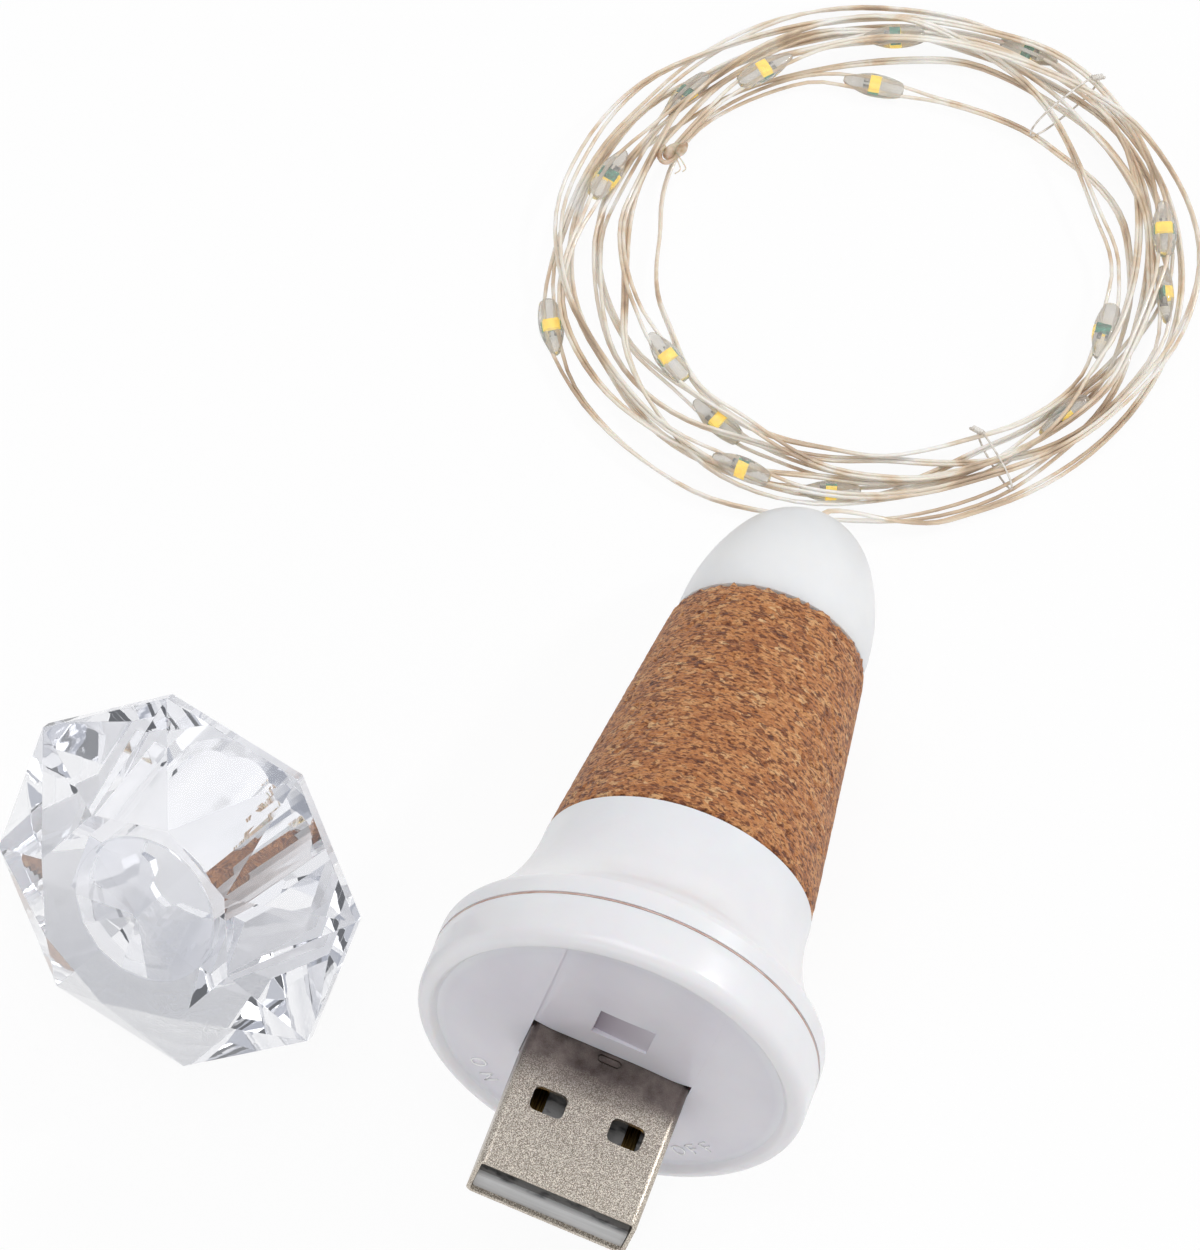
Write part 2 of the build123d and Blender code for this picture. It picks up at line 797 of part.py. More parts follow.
# Wire ties: a loop round all the strands at one place, with a small knot on top
for index, angle in enumerate(tie_angles, start=1):
    first = (angle - coil_start_angle) / 360 % 1
    strands = [first + lap for lap in range(int(coil_turns - first) + 1)]
    insets = [coil_inset(turn) for turn in strands]
    margin = string_diameter / 2 + tie_clearance + tie_radius
    tie_high = max(coil_point(turn).Z for turn in strands) + margin
    tie_height = tie_high - tie_radius
    spread = max(insets) - min(insets) + 2 * margin
    middle_inset = (max(insets) + min(insets)) / 2
    outward = Vector(cos(radians(angle)), sin(radians(angle)), 0)
    tie_middle = Vector(
        coil_x + (coil_half_x - middle_inset) * outward.X,
        coil_y + (coil_half_y - middle_inset) * outward.Y,
        (tie_radius + tie_high) / 2,
    )
    tie_plane = Plane(tie_middle, x_dir=outward, z_dir=outward.cross(Vector(0, 0, 1)))
    with BuildPart() as tie:
        with BuildLine(tie_plane) as loop:
            FilletPolyline(
                (spread / 2, tie_height / 2),
                (spread / 2, -tie_height / 2),
                (-spread / 2, -tie_height / 2),
                (-spread / 2, tie_height / 2),
                close=True,
                radius=tie_corner,
            )
        with BuildSketch(Plane(loop.wire() @ 0, z_dir=loop.wire() % 0)):
            Circle(tie_radius)
        sweep(path=loop.wire())
        with Locations(Location(tie_middle + Vector(0, 0, (tie_height + tie_knot_radius) / 2))):
            Sphere(tie_knot_radius)
    write(tie, f"coil_tie_{index}")

# Clear cap. It lies on one of its back facets, so its lean is that facet's slope.
gem_flat = gem_radius * cos(pi / gem_sides)
table_flat = table_radius * cos(pi / gem_sides)
back_lean = degrees(atan2(gem_flat - back_flat, back_depth))
facet_offset = (gem_flat + girdle_height * (gem_flat - back_flat) / back_depth) * cos(
    radians(back_lean)
)
cap_direction = Vector(1, 0, 0).rotate(Axis.Y, -back_lean).rotate(Axis.Z, cap_heading)
cap_downhill = Vector(1, 0, 0).rotate(Axis.Y, 90 - back_lean).rotate(Axis.Z, cap_heading)
# Plane of the girdle's front edge: X towards the facet it lies on, Z towards the table
cap = Plane((cap_x, cap_y, facet_offset), x_dir=cap_downhill, z_dir=cap_direction)


def facet(turn, low, high):
    """Plane through two (radius, height) points of the gem's section at this turn."""
    outward = cap.x_dir.rotate(Axis((0, 0, 0), cap.z_dir), turn)
    around = cap.z_dir.cross(outward)
    slope = outward * (high[0] - low[0]) + cap.z_dir * (high[1] - low[1])
    foot = cap.origin + outward * low[0] + cap.z_dir * low[1]
    return Plane(foot, x_dir=around, z_dir=around.cross(slope))


side_turn = 360 / gem_sides
cap_back = -girdle_height - back_depth
star_start = crown_height - star_depth
with BuildPart() as diamond_cap:
    with BuildSketch(cap.offset(cap_back)):
        RegularPolygon(gem_radius, gem_sides, rotation=side_turn / 2)
    extrude(amount=crown_height - cap_back)
    for side in range(gem_sides):
        turn = side * side_turn
        split(bisect_by=facet(turn, (back_flat, cap_back), (gem_flat, -girdle_height)),
              keep=Keep.BOTTOM)
        split(bisect_by=facet(turn, (gem_flat, 0), (table_radius, crown_height)),
              keep=Keep.BOTTOM)
        split(bisect_by=facet(turn + side_turn / 2, (gem_radius, 0), (table_flat, crown_height)),
              keep=Keep.BOTTOM)
    with BuildSketch(cap.offset(cap_back - overrun)):
        Circle(socket_radius)
    extrude(amount=overrun + star_start - cap_back, mode=Mode.SUBTRACT)
    with BuildSketch(cap.offset(cap_back - overrun)):
        Rectangle(plug_height + 2 * socket_clearance, plug_width + 2 * socket_clearance)
    extrude(amount=overrun + plug_length + 2 * socket_clearance, mode=Mode.SUBTRACT)
    with BuildSketch(cap.offset(star_start)):
        RegularPolygon(star_radius, star_sides)
    with BuildSketch(cap.offset(crown_height - star_apex_depth)):
        RegularPolygon(gate_radius, star_sides)
    loft(mode=Mode.SUBTRACT)
write(diamond_cap, "diamond_cap")

print("lean of the stopper", round(stopper_lean, 2), "height of its rim centre", round(stopper_height, 2))
print("lean of the cap", round(back_lean, 2), "height of its girdle centre", round(facet_offset, 2))
print("string length in all", round(coil_length + lead_wire.length, 1))
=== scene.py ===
# %% [markdown]
# # A cork bottle light, dressed for its picture
# The object is a light that is put into a bottle like a cork. A white twist head carries a
# charging plug, a cork sleeve grips the bottle's neck, and a string of small lamps comes out of a
# milky tip. A clear cap, cut like a gem, lies beside it. The measured solids come from a packed
# frame that is never moved. This notebook gives them their finish, and makes again, in finer
# detail, the pieces whose looks a plain solid can't carry.

# %% Load the measured frame
import bmesh
import bpy
import math
import numpy as np
from mathutils import Matrix, Vector


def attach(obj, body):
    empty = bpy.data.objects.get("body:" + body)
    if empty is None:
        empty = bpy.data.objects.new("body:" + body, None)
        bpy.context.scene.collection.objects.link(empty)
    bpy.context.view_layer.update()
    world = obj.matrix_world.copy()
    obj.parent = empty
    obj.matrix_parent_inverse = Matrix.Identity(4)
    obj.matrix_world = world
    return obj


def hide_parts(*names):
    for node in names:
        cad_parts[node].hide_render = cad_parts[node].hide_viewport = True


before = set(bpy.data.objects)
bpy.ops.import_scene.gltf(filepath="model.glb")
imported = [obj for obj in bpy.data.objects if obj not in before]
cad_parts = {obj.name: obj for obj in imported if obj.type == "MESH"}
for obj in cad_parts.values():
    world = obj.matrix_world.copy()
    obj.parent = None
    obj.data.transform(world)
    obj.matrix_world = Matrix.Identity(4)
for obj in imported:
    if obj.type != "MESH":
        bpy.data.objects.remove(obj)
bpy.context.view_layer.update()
MM = 0.001
print("nodes in the frame:", len(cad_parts))


# %% [markdown]
# ## Camera
# The photograph was taken from high up with a long lens. The camera's height and distance were
# worked out from the round rims, the plug and the eight-sided cap, so it is set by numbers here
# and not by eye: it looks down at a steep angle from about half a metre.

# %% Camera
elevation = math.radians(66.02)
distance = 520 * MM
target = np.array([11.725, 11.640, 28.016]) * MM
eye = target + distance * np.array([0, -math.cos(elevation), math.sin(elevation)])

camera_data = bpy.data.cameras.new("camera")
camera_data.lens = 220.9
camera_data.sensor_width = 36
camera_data.sensor_fit = "HORIZONTAL"
camera_data.clip_start = 0.01
camera = bpy.data.objects.new("camera", camera_data)
camera.location = eye
camera.rotation_euler = (math.pi / 2 - elevation, 0, 0)
bpy.context.scene.collection.objects.link(camera)
bpy.context.scene.camera = camera
bpy.context.scene.view_settings.view_transform = "Standard"
print("camera stands at", eye.round(4))


# %% [markdown]
# ## Meshes from arrays
# Every new piece is a grid of points worked out with numpy. One helper turns a grid into a mesh:
# rows run along the piece, columns run round it, and each small square becomes a face. Lengths
# are written in millimetres here and become metres in one place, as the points go into the mesh.
# Shapes could be pushed and pulled by hand too, but numbers can be checked and changed later.

# %% From points to meshes
def new_piece(name, points, faces, body="stopper", smooth=True):
    """Make an object of points in millimetres and of faces, riding on a body."""
    mesh = bpy.data.meshes.new(name)
    mesh.from_pydata((np.asarray(points, float) * MM).tolist(), [], [list(f) for f in faces])
    mesh.validate()
    mesh.update()
    if smooth:
        mesh.shade_smooth()
    piece = bpy.data.objects.new(name, mesh)
    bpy.context.scene.collection.objects.link(piece)
    if body:
        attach(piece, body)
    return piece


def grid_faces(rows, columns, closed=False):
    """Squares of a grid that is open along its rows and closed round its columns. Where it is
    closed, one flat face goes over each end."""
    row, column = np.meshgrid(np.arange(rows - 1), np.arange(columns), indexing="ij")
    beside = (column + 1) % columns
    corners = [row * columns + column, row * columns + beside,
               (row + 1) * columns + beside, (row + 1) * columns + column]
    faces = np.stack(corners, -1).reshape(-1, 4).tolist()
    if closed:
        last = (rows - 1) * columns
        faces += [list(range(columns - 1, -1, -1)), list(range(last, last + columns))]
    return faces


def round_edges(piece, name, width, angle):
    """Round the edges that turn by more than an angle in degrees, to a width in millimetres."""
    bevel = piece.modifiers.new(name, "BEVEL")
    bevel.width = width * MM
    bevel.segments = 2
    bevel.limit_method = "ANGLE"
    bevel.angle_limit = math.radians(angle)


def unit(vectors):
    """Vectors scaled to length 1, along the last axis."""
    return vectors / np.linalg.norm(vectors, axis=-1, keepdims=True)


print("a grid of 3 rows and 4 columns has", len(grid_faces(3, 4)), "squares")


# %% [markdown]
# ## Helpers for finishes
# A finish is a Principled shader whose colour, roughness and surface bumps come from procedural
# patterns. A few helpers keep each finish short to read. Patterns are measured in millimetres.
# Painted images would have to be unwrapped and stored, and would blur close up.

# %% One shader and its patterns
def fill(node, inputs):
    """Set these inputs of a node, each to a value or to what another node gives."""
    for socket, value in inputs.items():
        if isinstance(value, bpy.types.NodeSocket):
            node.id_data.links.new(value, node.inputs[socket])
        else:
            node.inputs[socket].default_value = value
    return node


def add_node(tree, kind, inputs):
    """A new node of this kind, with these inputs."""
    return fill(tree.nodes.new("ShaderNode" + kind), inputs)


def node_material(name):
    """A new material whose node tree is emptied down to its output."""
    material = bpy.data.materials.new(name)
    material.use_nodes = True
    tree = material.node_tree
    tree.nodes.clear()
    return material, tree, tree.nodes.new("ShaderNodeOutputMaterial")


def finish_of(name, colour, roughness, **sockets):
    """A new material with one Principled shader of this colour, roughness and other sockets."""
    material, tree, output = node_material(name)
    inputs = {"Base Color": (*colour, 1), "Roughness": roughness}
    inputs.update({socket.replace("_", " "): value for socket, value in sockets.items()})
    shader = add_node(tree, "BsdfPrincipled", inputs)
    fill(output, {"Surface": shader.outputs[0]})
    return material, shader


# %% Places and patterns
def scaled_by(vector, scale):
    """The same coordinates, scaled along each axis."""
    return add_node(vector.id_data, "Mapping", {"Vector": vector, "Scale": scale}).outputs[0]


def table_place(shader):
    """Object coordinates in millimetres."""
    place = add_node(shader.id_data, "TexCoord", {}).outputs["Object"]
    return scaled_by(place, (1000, 1000, 1000))


def maths(operation, *values):
    """A sum or a product of numbers and links, the first one a link."""
    node = add_node(values[0].id_data, "Math", {})
    node.operation = operation
    return fill(node, dict(enumerate(values))).outputs[0]


def clouds(vector, scale, detail=2.0, distortion=0.0, output="Fac"):
    """Soft noise from 0 to 1, or three such noises as a colour."""
    node = add_node(vector.id_data, "TexNoise", {
        "Vector": vector, "Scale": scale, "Detail": detail, "Distortion": distortion})
    return node.outputs[output]


def cells(vector, scale):
    """Patches with one random colour each."""
    node = add_node(vector.id_data, "TexVoronoi", {"Vector": vector, "Scale": scale})
    return node.outputs["Color"]


def one_axis(vector, axis):
    """One coordinate of a place, as a number."""
    return add_node(vector.id_data, "SeparateXYZ", {0: vector}).outputs[axis]


def tones(factor, stops):
    """Colours along a ramp: (place, colour) pairs."""
    node = add_node(factor.id_data, "ValToRGB", {0: factor})
    ramp_line = node.color_ramp
    while len(ramp_line.elements) < len(stops):
        ramp_line.elements.new(1)
    for element, (place, colour) in zip(ramp_line.elements, stops):
        element.position = place
        element.color = (*colour, 1)
    return node.outputs[0]


def between(value, low, high, start=0.0, end=1.0):
    """A number carried from the range start to end into the range low to high."""
    node = add_node(value.id_data, "MapRange", {
        "Value": value, "From Min": start, "From Max": end, "To Min": low, "To Max": high})
    return node.outputs["Result"]


def mixed(factor, first, second, blend="MIX"):
    """Two colours mixed by a factor, the second one a link."""
    node = add_node(second.id_data, "Mix", {})
    node.data_type = "RGBA"
    node.blend_type = blend
    return fill(node, {"Factor": factor, 6: first, 7: second}).outputs[2]


# %% What a pattern drives
def mottle(shader, place, scale, detail, dark, light, ends=(0.3, 0.7)):
    """Let the base colour drift by soft noise between a dark and a light tone."""
    colour = tones(clouds(place, scale, detail), list(zip(ends, (dark, light))))
    fill(shader, {"Base Color": colour})
    return colour


def roughen(shader, place, scale, detail, low, high):
    """Let the roughness drift by soft noise between two values."""
    fill(shader, {"Roughness": between(clouds(place, scale, detail), low, high)})


def bumps(shader, height, depth, strength=1.0):
    """Raise the surface by a pattern, to a depth in millimetres."""
    node = add_node(shader.id_data, "Bump", {
        "Height": height, "Distance": depth * MM, "Strength": strength})
    fill(shader, {"Normal": node.outputs[0]})


def coat_nodes(material, *names):
    """Give carried-over nodes of the frame this finish."""
    for name in names:
        node = bpy.data.objects[name]
        node.data.materials.clear()
        node.data.materials.append(material)
    print(material.name, "coats", ", ".join(names))


# %% [markdown]
# ## Floor and light
# The object lies on a white table under soft light. The floor is white to the camera and to
# what mirrors or refracts it, yet it still takes a faint shadow, because part of its white is
# plain reflected light. A broad lamp hangs above, a second one fills in from the front, and the
# world gives the rest. A small lamp on the right makes the sharp glints. Mirrors and clear pieces
# see a studio with grey patches between its white walls, without which they would look like
# nothing, and what is seen through clear plastic is a little darker still.

# %% Floor and light
def ray_share(tree, weights):
    """A factor that adds up a weight for each kind of ray: camera, mirror, clear. A ray through
    clear plastic counts as both mirror and clear, so its weight is the sum of the two."""
    path = add_node(tree, "LightPath", {})
    total = 0.0
    for kind, weight in weights.items():
        total = maths("MULTIPLY_ADD", path.outputs[kind], weight, total)
    return total


floor_paint, tree, output = node_material("floor_paint")
matt = add_node(tree, "BsdfDiffuse", {"Color": (0.92, 0.92, 0.93, 1)})
glow = add_node(tree, "Emission", {"Strength": 1.0})
shown = ray_share(tree, {"Is Camera Ray": 0.93, "Is Glossy Ray": 0.75,
                         "Is Transmission Ray": -0.50})
both = add_node(tree, "MixShader", {0: shown, 1: matt.outputs[0], 2: glow.outputs[0]})
fill(output, {"Surface": both.outputs[0]})

half = 3000
floor = new_piece("floor", [(-half, -half, 0), (half, -half, 0), (half, half, 0), (-half, half, 0)],
                  [(0, 1, 2, 3)], body=None, smooth=False)
floor.data.materials.append(floor_paint)
print("floor", 2 * half / 1000, "m wide")

# %% Studio
world = bpy.data.worlds.new("studio")
bpy.context.scene.world = world
world.use_nodes = True
tree = world.node_tree
tree.nodes.clear()
direction = add_node(tree, "TexCoord", {}).outputs["Generated"]
patches = tones(clouds(direction, 1.5, 1.0),
                [(0.36, (0.42, 0.44, 0.50)), (0.60, (0.97, 0.97, 0.98))])
mirror_share = ray_share(tree, {"Is Glossy Ray": 0.75, "Is Transmission Ray": 0.25})
seen_share = ray_share(tree, {"Is Camera Ray": 1.0, "Is Glossy Ray": 1.0,
                              "Is Transmission Ray": -0.35})
background = add_node(tree, "Background", {
    "Color": mixed(mirror_share, (1, 1, 1, 1), patches),
    "Strength": between(seen_share, 0.54, 1.0)})
add_node(tree, "OutputWorld", {"Surface": background.outputs[0]})


# %% Lamps
def soft_lamp(name, place, aim, size, watts):
    """A square lamp of this size in millimetres, turned to face a point."""
    data = bpy.data.lights.new(name, "AREA")
    data.size = size * MM
    data.energy = watts
    lamp = bpy.data.objects.new(name, data)
    lamp.location = np.array(place) * MM
    lamp.rotation_euler = (Vector(aim) - Vector(place)).to_track_quat("-Z", "Y").to_euler()
    bpy.context.scene.collection.objects.link(lamp)


soft_lamp("lamp_above", (-40, 60, 760), (10, 10, 0), 480, 1.45)
soft_lamp("lamp_front", (-260, -560, 460), (10, 0, 10), 500, 0.50)
soft_lamp("lamp_side", (520, 170, 400), (10, 0, 10), 60, 1.1)
print("lamps", len(bpy.data.lights))


# %% [markdown]
# ## The string's route
# The string is a pair of fine insulated wires, 1.2 m long, coiled by hand. Its route repeats the
# one that the frame was measured with: out of the tip, down to the table, then round and round,
# first inwards on the table, then back outwards on top. Turns by hand are never even, so each
# lap wanders a little, and where laps would lie in one another they are pushed apart, with the
# fat drops taking more room than the wires. The result is a single smooth spline. A physics
# simulation could drop a wire into a pile, but it would not keep the coil in its place.

# %% The coil's centre line
string_diameter = 0.70
coil_x, coil_y = 32.485, 53.941
coil_half_x, coil_half_y = 23.85, 21.65
coil_lift, layer_rise, lane_pitch = 0.73, 1.15, 0.98
coil_start_angle, coil_turns, spiral_turn = -75, 9.625, 4.80
bead_turns = np.array([0.733, 1.36, 1.925, 2.564, 3.181, 3.85, 4.453, 5.151, 5.80, 6.45, 7.09,
                       7.658, 8.236, 8.897, 9.543])


def ramp(turn, start, end):
    """Smooth step from 0 at start to 1 at end."""
    share = np.clip((turn - start) / (end - start), 0, 1)
    return share * share * (3 - 2 * share)


def bump(turn, middle, half):
    """Rounded bump of height 1 at middle, 0 beyond half on either side."""
    share = np.clip((turn - middle) / half, -1, 1)
    return np.cos(np.pi / 2 * share) ** 2


def coil_points(turn):
    """Centre of the string after so many turns, for an array of turns: angle grows steadily,
    the inset from the outermost lap rises to the reversal and falls again, and the height
    climbs a layer there."""
    angle = np.radians(coil_start_angle + 360 * turn)
    lane = spiral_turn - np.sqrt((turn - spiral_turn) ** 2 + 0.12**2)
    fan = 1 + 0.05 * np.cos(angle - np.radians(190))
    inset = (lane * lane_pitch * fan + 3.0 * bump(turn, 4.62, 0.36) - 1.6 * bump(turn, 0.74, 0.30)
             + 5.8 * ramp(turn, coil_turns - 0.425, coil_turns))
    height = (coil_lift + layer_rise * ramp(turn, spiral_turn - 0.25, spiral_turn + 0.25)
              + 1.2 * ramp(turn, coil_turns - 0.70, coil_turns - 0.425)
              - 0.8 * ramp(turn, coil_turns - 0.09, coil_turns))
    return np.stack([coil_x + (coil_half_x - inset) * np.cos(angle),
                     coil_y + (coil_half_y - inset) * np.sin(angle), height], -1)


# %% Let the laps wander, then push them apart
def wander(turn):
    """Sideways stray of each lap: three slow waves whose phases drift from lap to lap, and two
    small quick ones that kink the wire."""
    return (0.95 * np.sin(2 * np.pi * 1.31 * turn + 0.6)
            + 1.05 * np.sin(2 * np.pi * 2.17 * turn + 2.1)
            + 0.72 * np.sin(2 * np.pi * 3.43 * turn + 4.0) + 0.22 * np.sin(2 * np.pi * 8.3 * turn)
            + 0.13 * np.sin(2 * np.pi * 12.7 * turn + 1.0))


def room(turn):
    """Half of the room the string needs there: its own radius, more at a drop."""
    to_bead = np.abs(turn[:, None] - bead_turns[None, :]).min(1) * 2 * np.pi * coil_half_x
    return string_diameter / 2 + 0.50 * np.clip(1.6 - to_bead / 2.2, 0, 1)


def settle(points, radius, laps_apart, rounds=70, push_share=0.45, smoothing=0.20):
    """Push points off the other laps' segments, round by round, towards the sum of the two radii,
    and keep each above the table. Only the push is smoothed along the string, so the laps keep
    their size."""
    drawn, count = points.copy(), len(points)
    points = points.copy()
    near = np.abs(np.arange(count)[:, None] - np.arange(count - 1)[None, :] - 0.5) < laps_apart
    for _ in range(rounds):
        start, run = points[:-1], points[1:] - points[:-1]
        across = points[:, None, :] - start[None, :, :]
        along = np.clip((across * run).sum(-1) / (run * run).sum(-1), 0, 1)
        away = across - along[..., None] * run
        gap = np.linalg.norm(away, axis=-1)
        gap[near] = 1e3
        least = gap.argmin(1)
        index = np.arange(count)
        short = np.clip(radius + radius[least] - gap[index, least], 0, None)
        push = away[index, least] / np.maximum(gap[index, least], 1e-6)[:, None]
        points += push_share * short[:, None] * push * (0.6, 0.6, 1.4)
        shift = points - drawn
        shift[1:-1] += smoothing * (shift[:-2] + shift[2:] - 2 * shift[1:-1])
        points = drawn + shift * (0.99, 0.99, 0.98)
        points[:, 2] = np.maximum(points[:, 2], radius)
    return points


# %% Settle the coil
top_spread = 0.75
turns = np.linspace(0, coil_turns - 0.015, 309)
free = ramp(turns, 0.05, 0.5) * (1 - ramp(turns, 9.35, 9.6))
free *= 0.50 + 0.50 * np.clip((spiral_turn - np.abs(turns - spiral_turn)) / 2.0, 0, 1)
laps = coil_points(turns)
outwards = unit((laps - (coil_x, coil_y, 0)) * (1, 1, 0))
spread = top_spread * np.clip(outwards[:, 1], 0, 1) ** 2
laps += (wander(turns) * free + spread)[:, None] * outwards
laps = settle(laps, room(turns), 8)
print("highest point of the settled coil", laps[:, 2].max().round(2))

# %% One smooth spline from the tip to the far end
stopper_origin = np.array([11.865, -17.629, 15.496])
stopper_along = unit(np.array([0.310867, 0.929084, -0.200410]))
stopper_level = np.array([math.cos(math.radians(18.5)), -math.sin(math.radians(18.5)), 0])
stopper_roll = math.radians(10.5)
stopper_across = (stopper_level * math.cos(stopper_roll)
                  + np.cross(stopper_along, stopper_level) * math.sin(stopper_roll))
stopper_down = np.cross(stopper_along, stopper_across)


def on_stopper(across, down, along):
    """Points given across and down the plug and along the stopper, in the frame's millimetres."""
    across, down, along = (np.asarray(a, float)[..., None] for a in (across, down, along))
    return stopper_origin + across * stopper_across + down * stopper_down + along * stopper_along


string_start = 51.48
lead_rise, lead_fall = (31.069, 31.821, 3.30), (33.569, 31.821, 1.85)
outlet = on_stopper(0, 0, string_start)
before_coil = laps[0] - 2.1 * unit(laps[1] - laps[0]) + (0, 0, 0.2)
lead = np.array([outlet, outlet + 1.3 * stopper_along, lead_rise, lead_fall, before_coil])
route = np.vstack([lead, laps])


def spline_points(points, resolution):
    """Read the points of a smooth spline that has these as its control points."""
    data = bpy.data.curves.new("line", "CURVE")
    data.dimensions = "3D"
    data.resolution_u = resolution
    spline = data.splines.new("NURBS")
    spline.points.add(len(points) - 1)
    spline.points.foreach_set("co", np.column_stack([points * MM, np.ones(len(points))]).ravel())
    spline.order_u = 3
    spline.use_endpoint_u = True
    line = bpy.data.objects.new("line", data)
    mesh = bpy.data.meshes.new_from_object(line)
    read = np.empty(len(mesh.vertices) * 3)
    mesh.vertices.foreach_get("co", read)
    bpy.data.objects.remove(line)
    bpy.data.meshes.remove(mesh)
    return read.reshape(-1, 3) / MM


path = spline_points(route, 3)
steps = np.linalg.norm(np.diff(path, axis=0), axis=1)
travel = np.concatenate([[0], np.cumsum(steps)])


# %% [markdown]
# ## Two wires side by side
# The string is really two insulated wires that lie side by side and part now and then, above all
# round a drop. Each wire is a round section carried along its own line. The two lines run beside
# the spline, at a distance and a roll that change slowly along it. A bevel on the spline would be
# quicker, but it gives one wire that never parts.

# %% The two wires
def frames_along(points):
    """Direction of travel, and the level direction across it, at each point of a line."""
    way = unit(np.gradient(points, axis=0))
    across = unit(np.cross(way, (0, 0, 1)) + 1e-9)
    return way, across, np.cross(across, way)


def tube(points, radius, sides=8):
    """Round section carried along a line, centre + radius (cos a across + sin a up), with a flat
    face over each end."""
    _, across, up = frames_along(points)
    angle = np.linspace(0, 2 * np.pi, sides, endpoint=False)
    ring = (np.cos(angle)[None, :, None] * across[:, None, :]
            + np.sin(angle)[None, :, None] * up[:, None, :])
    skin = points[:, None, :] + radius * ring
    return skin.reshape(-1, 3), grid_faces(len(points), sides, closed=True)


def together(parts):
    """Join several (points, faces) parts into one, renumbering the faces."""
    points, faces, count = [], [], 0
    for part_points, part_faces in parts:
        points.append(part_points)
        faces += [[index + count for index in face] for face in part_faces]
        count += len(part_points)
    return np.vstack(points), faces


wire_radius = 0.15
way, across, up = frames_along(path)
path_place = np.linspace(0, len(route) - 1, len(path))
lap_travel = np.interp(np.arange(len(lead), len(route)), path_place, travel)
coil_travel = np.interp(bead_turns, turns, lap_travel)
to_bead = np.abs(travel[:, None] - coil_travel[None, :]).min(1)
roll = 0.9 * np.sin(travel / 17.0) + 0.7 * np.sin(travel / 7.3 + 1.0)
parting = (wire_radius * 1.02 + 0.30 * np.clip(np.sin(travel / 11.7 + 0.4) - 0.55, 0, 1)
           + 0.22 * np.clip(1 - (to_bead - 2.2) / 2.5, 0, 1))
beside = (np.cos(roll)[:, None] * across + np.sin(roll)[:, None] * up) * parting[:, None]
wires = [path + beside, path - beside]
for wire in wires:
    wire[:, 2] = np.maximum(wire[:, 2], wire_radius + 0.01)
string = new_piece("string", *together([tube(wire, wire_radius) for wire in wires]))
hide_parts("string_lead", "string_coil")
print("string faces", len(string.data.polygons))


# %% [markdown]
# ## Finish: white moulded plastic
# The head and the collar are one white moulding material, a little cool, smooth but not polished.
# Plain white would look like plaster, so slow clouds change its roughness and tone a little, as
# mould marks and finger marks do, and light scatters just under its skin. The dish's darker tone
# is painted shade. Patterns on the stopper follow its own axes, across the plug, down the plug and
# along the stopper, so that grain can run round the cork or along the plug.

# %% White plastic
def stopper_place(shader, stretch=(1, 1, 1)):
    """Millimetres across, down and along the stopper, stretched."""
    place = add_node(shader.id_data, "TexCoord", {}).outputs["Object"]
    axes = Matrix([stopper_across, stopper_down, stopper_along])
    own = add_node(shader.id_data, "Mapping", {
        "Vector": place, "Rotation": axes.to_euler(),
        "Location": axes @ Vector(-stopper_origin * MM)})
    return scaled_by(own.outputs[0], [1000 * part for part in stretch])


def from_axis(place):
    """Distance from the stopper's axis, in millimetres."""
    node = add_node(place.id_data, "VectorMath", {0: scaled_by(place, (1, 1, 0))})
    node.operation = "LENGTH"
    return node.outputs["Value"]


white_plastic, shader = finish_of(
    "white_plastic", (0.84, 0.835, 0.86), 0.30, Subsurface_Weight=0.12, Subsurface_Scale=0.002,
    Coat_Weight=0.5, Coat_Roughness=0.07)
place = stopper_place(shader)
slow = clouds(place, 0.16, 3.0)
plain_white = tones(slow, [(0.30, (0.825, 0.815, 0.850)), (0.70, (0.870, 0.865, 0.885))])
# Painted shade: the dish inside the lip gets a darker, more lavender white.
dish_painted_shade = tones(slow, [(0.30, (0.700, 0.675, 0.740)), (0.70, (0.760, 0.740, 0.790))])
in_dish = between(from_axis(place), 1.0, 0.0, 12.2, 13.2)
before_rim = between(one_axis(place, 2), 1.0, 0.0, 2.0, 2.6)
dish_shade_part = maths("MULTIPLY", in_dish, before_rim)
fill(shader, {"Base Color": mixed(dish_shade_part, plain_white, dish_painted_shade)})
roughen(shader, place, 0.9, 4.0, 0.24, 0.40)
bumps(shader, clouds(place, 2.2, 3.0), 0.008)
coat_nodes(white_plastic, "head_disc", "collar", "inner_tube")

# The seam's thin warm line is painted shadow of the gap, with dirt in it, and the bearing plate
# that shows through the seam takes the same colour.
seam_plastic, shader = finish_of("seam_plastic", (0.55, 0.33, 0.26), 0.5)
mottle(shader, stopper_place(shader), 0.7, 3.0, (0.58, 0.36, 0.30), (0.78, 0.60, 0.54))
coat_nodes(seam_plastic, "bearing_plate")

# %% [markdown]
# ## Finish: milky plastic
# The tip is moulded in translucent plastic that spreads the lamps' light. It is a pale, even
# grey-white, lit from within by what passes through it, so most of its light is scattered below
# the surface. Frosted glass would also look pale, but one would see the cork's end through it.

# %% Milky plastic
milky_plastic, shader = finish_of(
    "milky_plastic", (0.80, 0.82, 0.84), 0.36, Subsurface_Weight=0.55, Subsurface_Scale=0.004,
    Subsurface_Radius=(1.0, 0.9, 0.8), Coat_Weight=0.15, Coat_Roughness=0.25)
place = stopper_place(shader)
mottle(shader, place, 0.22, 3.0, (0.86, 0.865, 0.875), (0.90, 0.90, 0.90))
roughen(shader, place, 1.3, 4.0, 0.30, 0.46)
bumps(shader, clouds(place, 1.6, 2.0), 0.010)
coat_nodes(milky_plastic, "diffuser_tip", "exit_grommet")
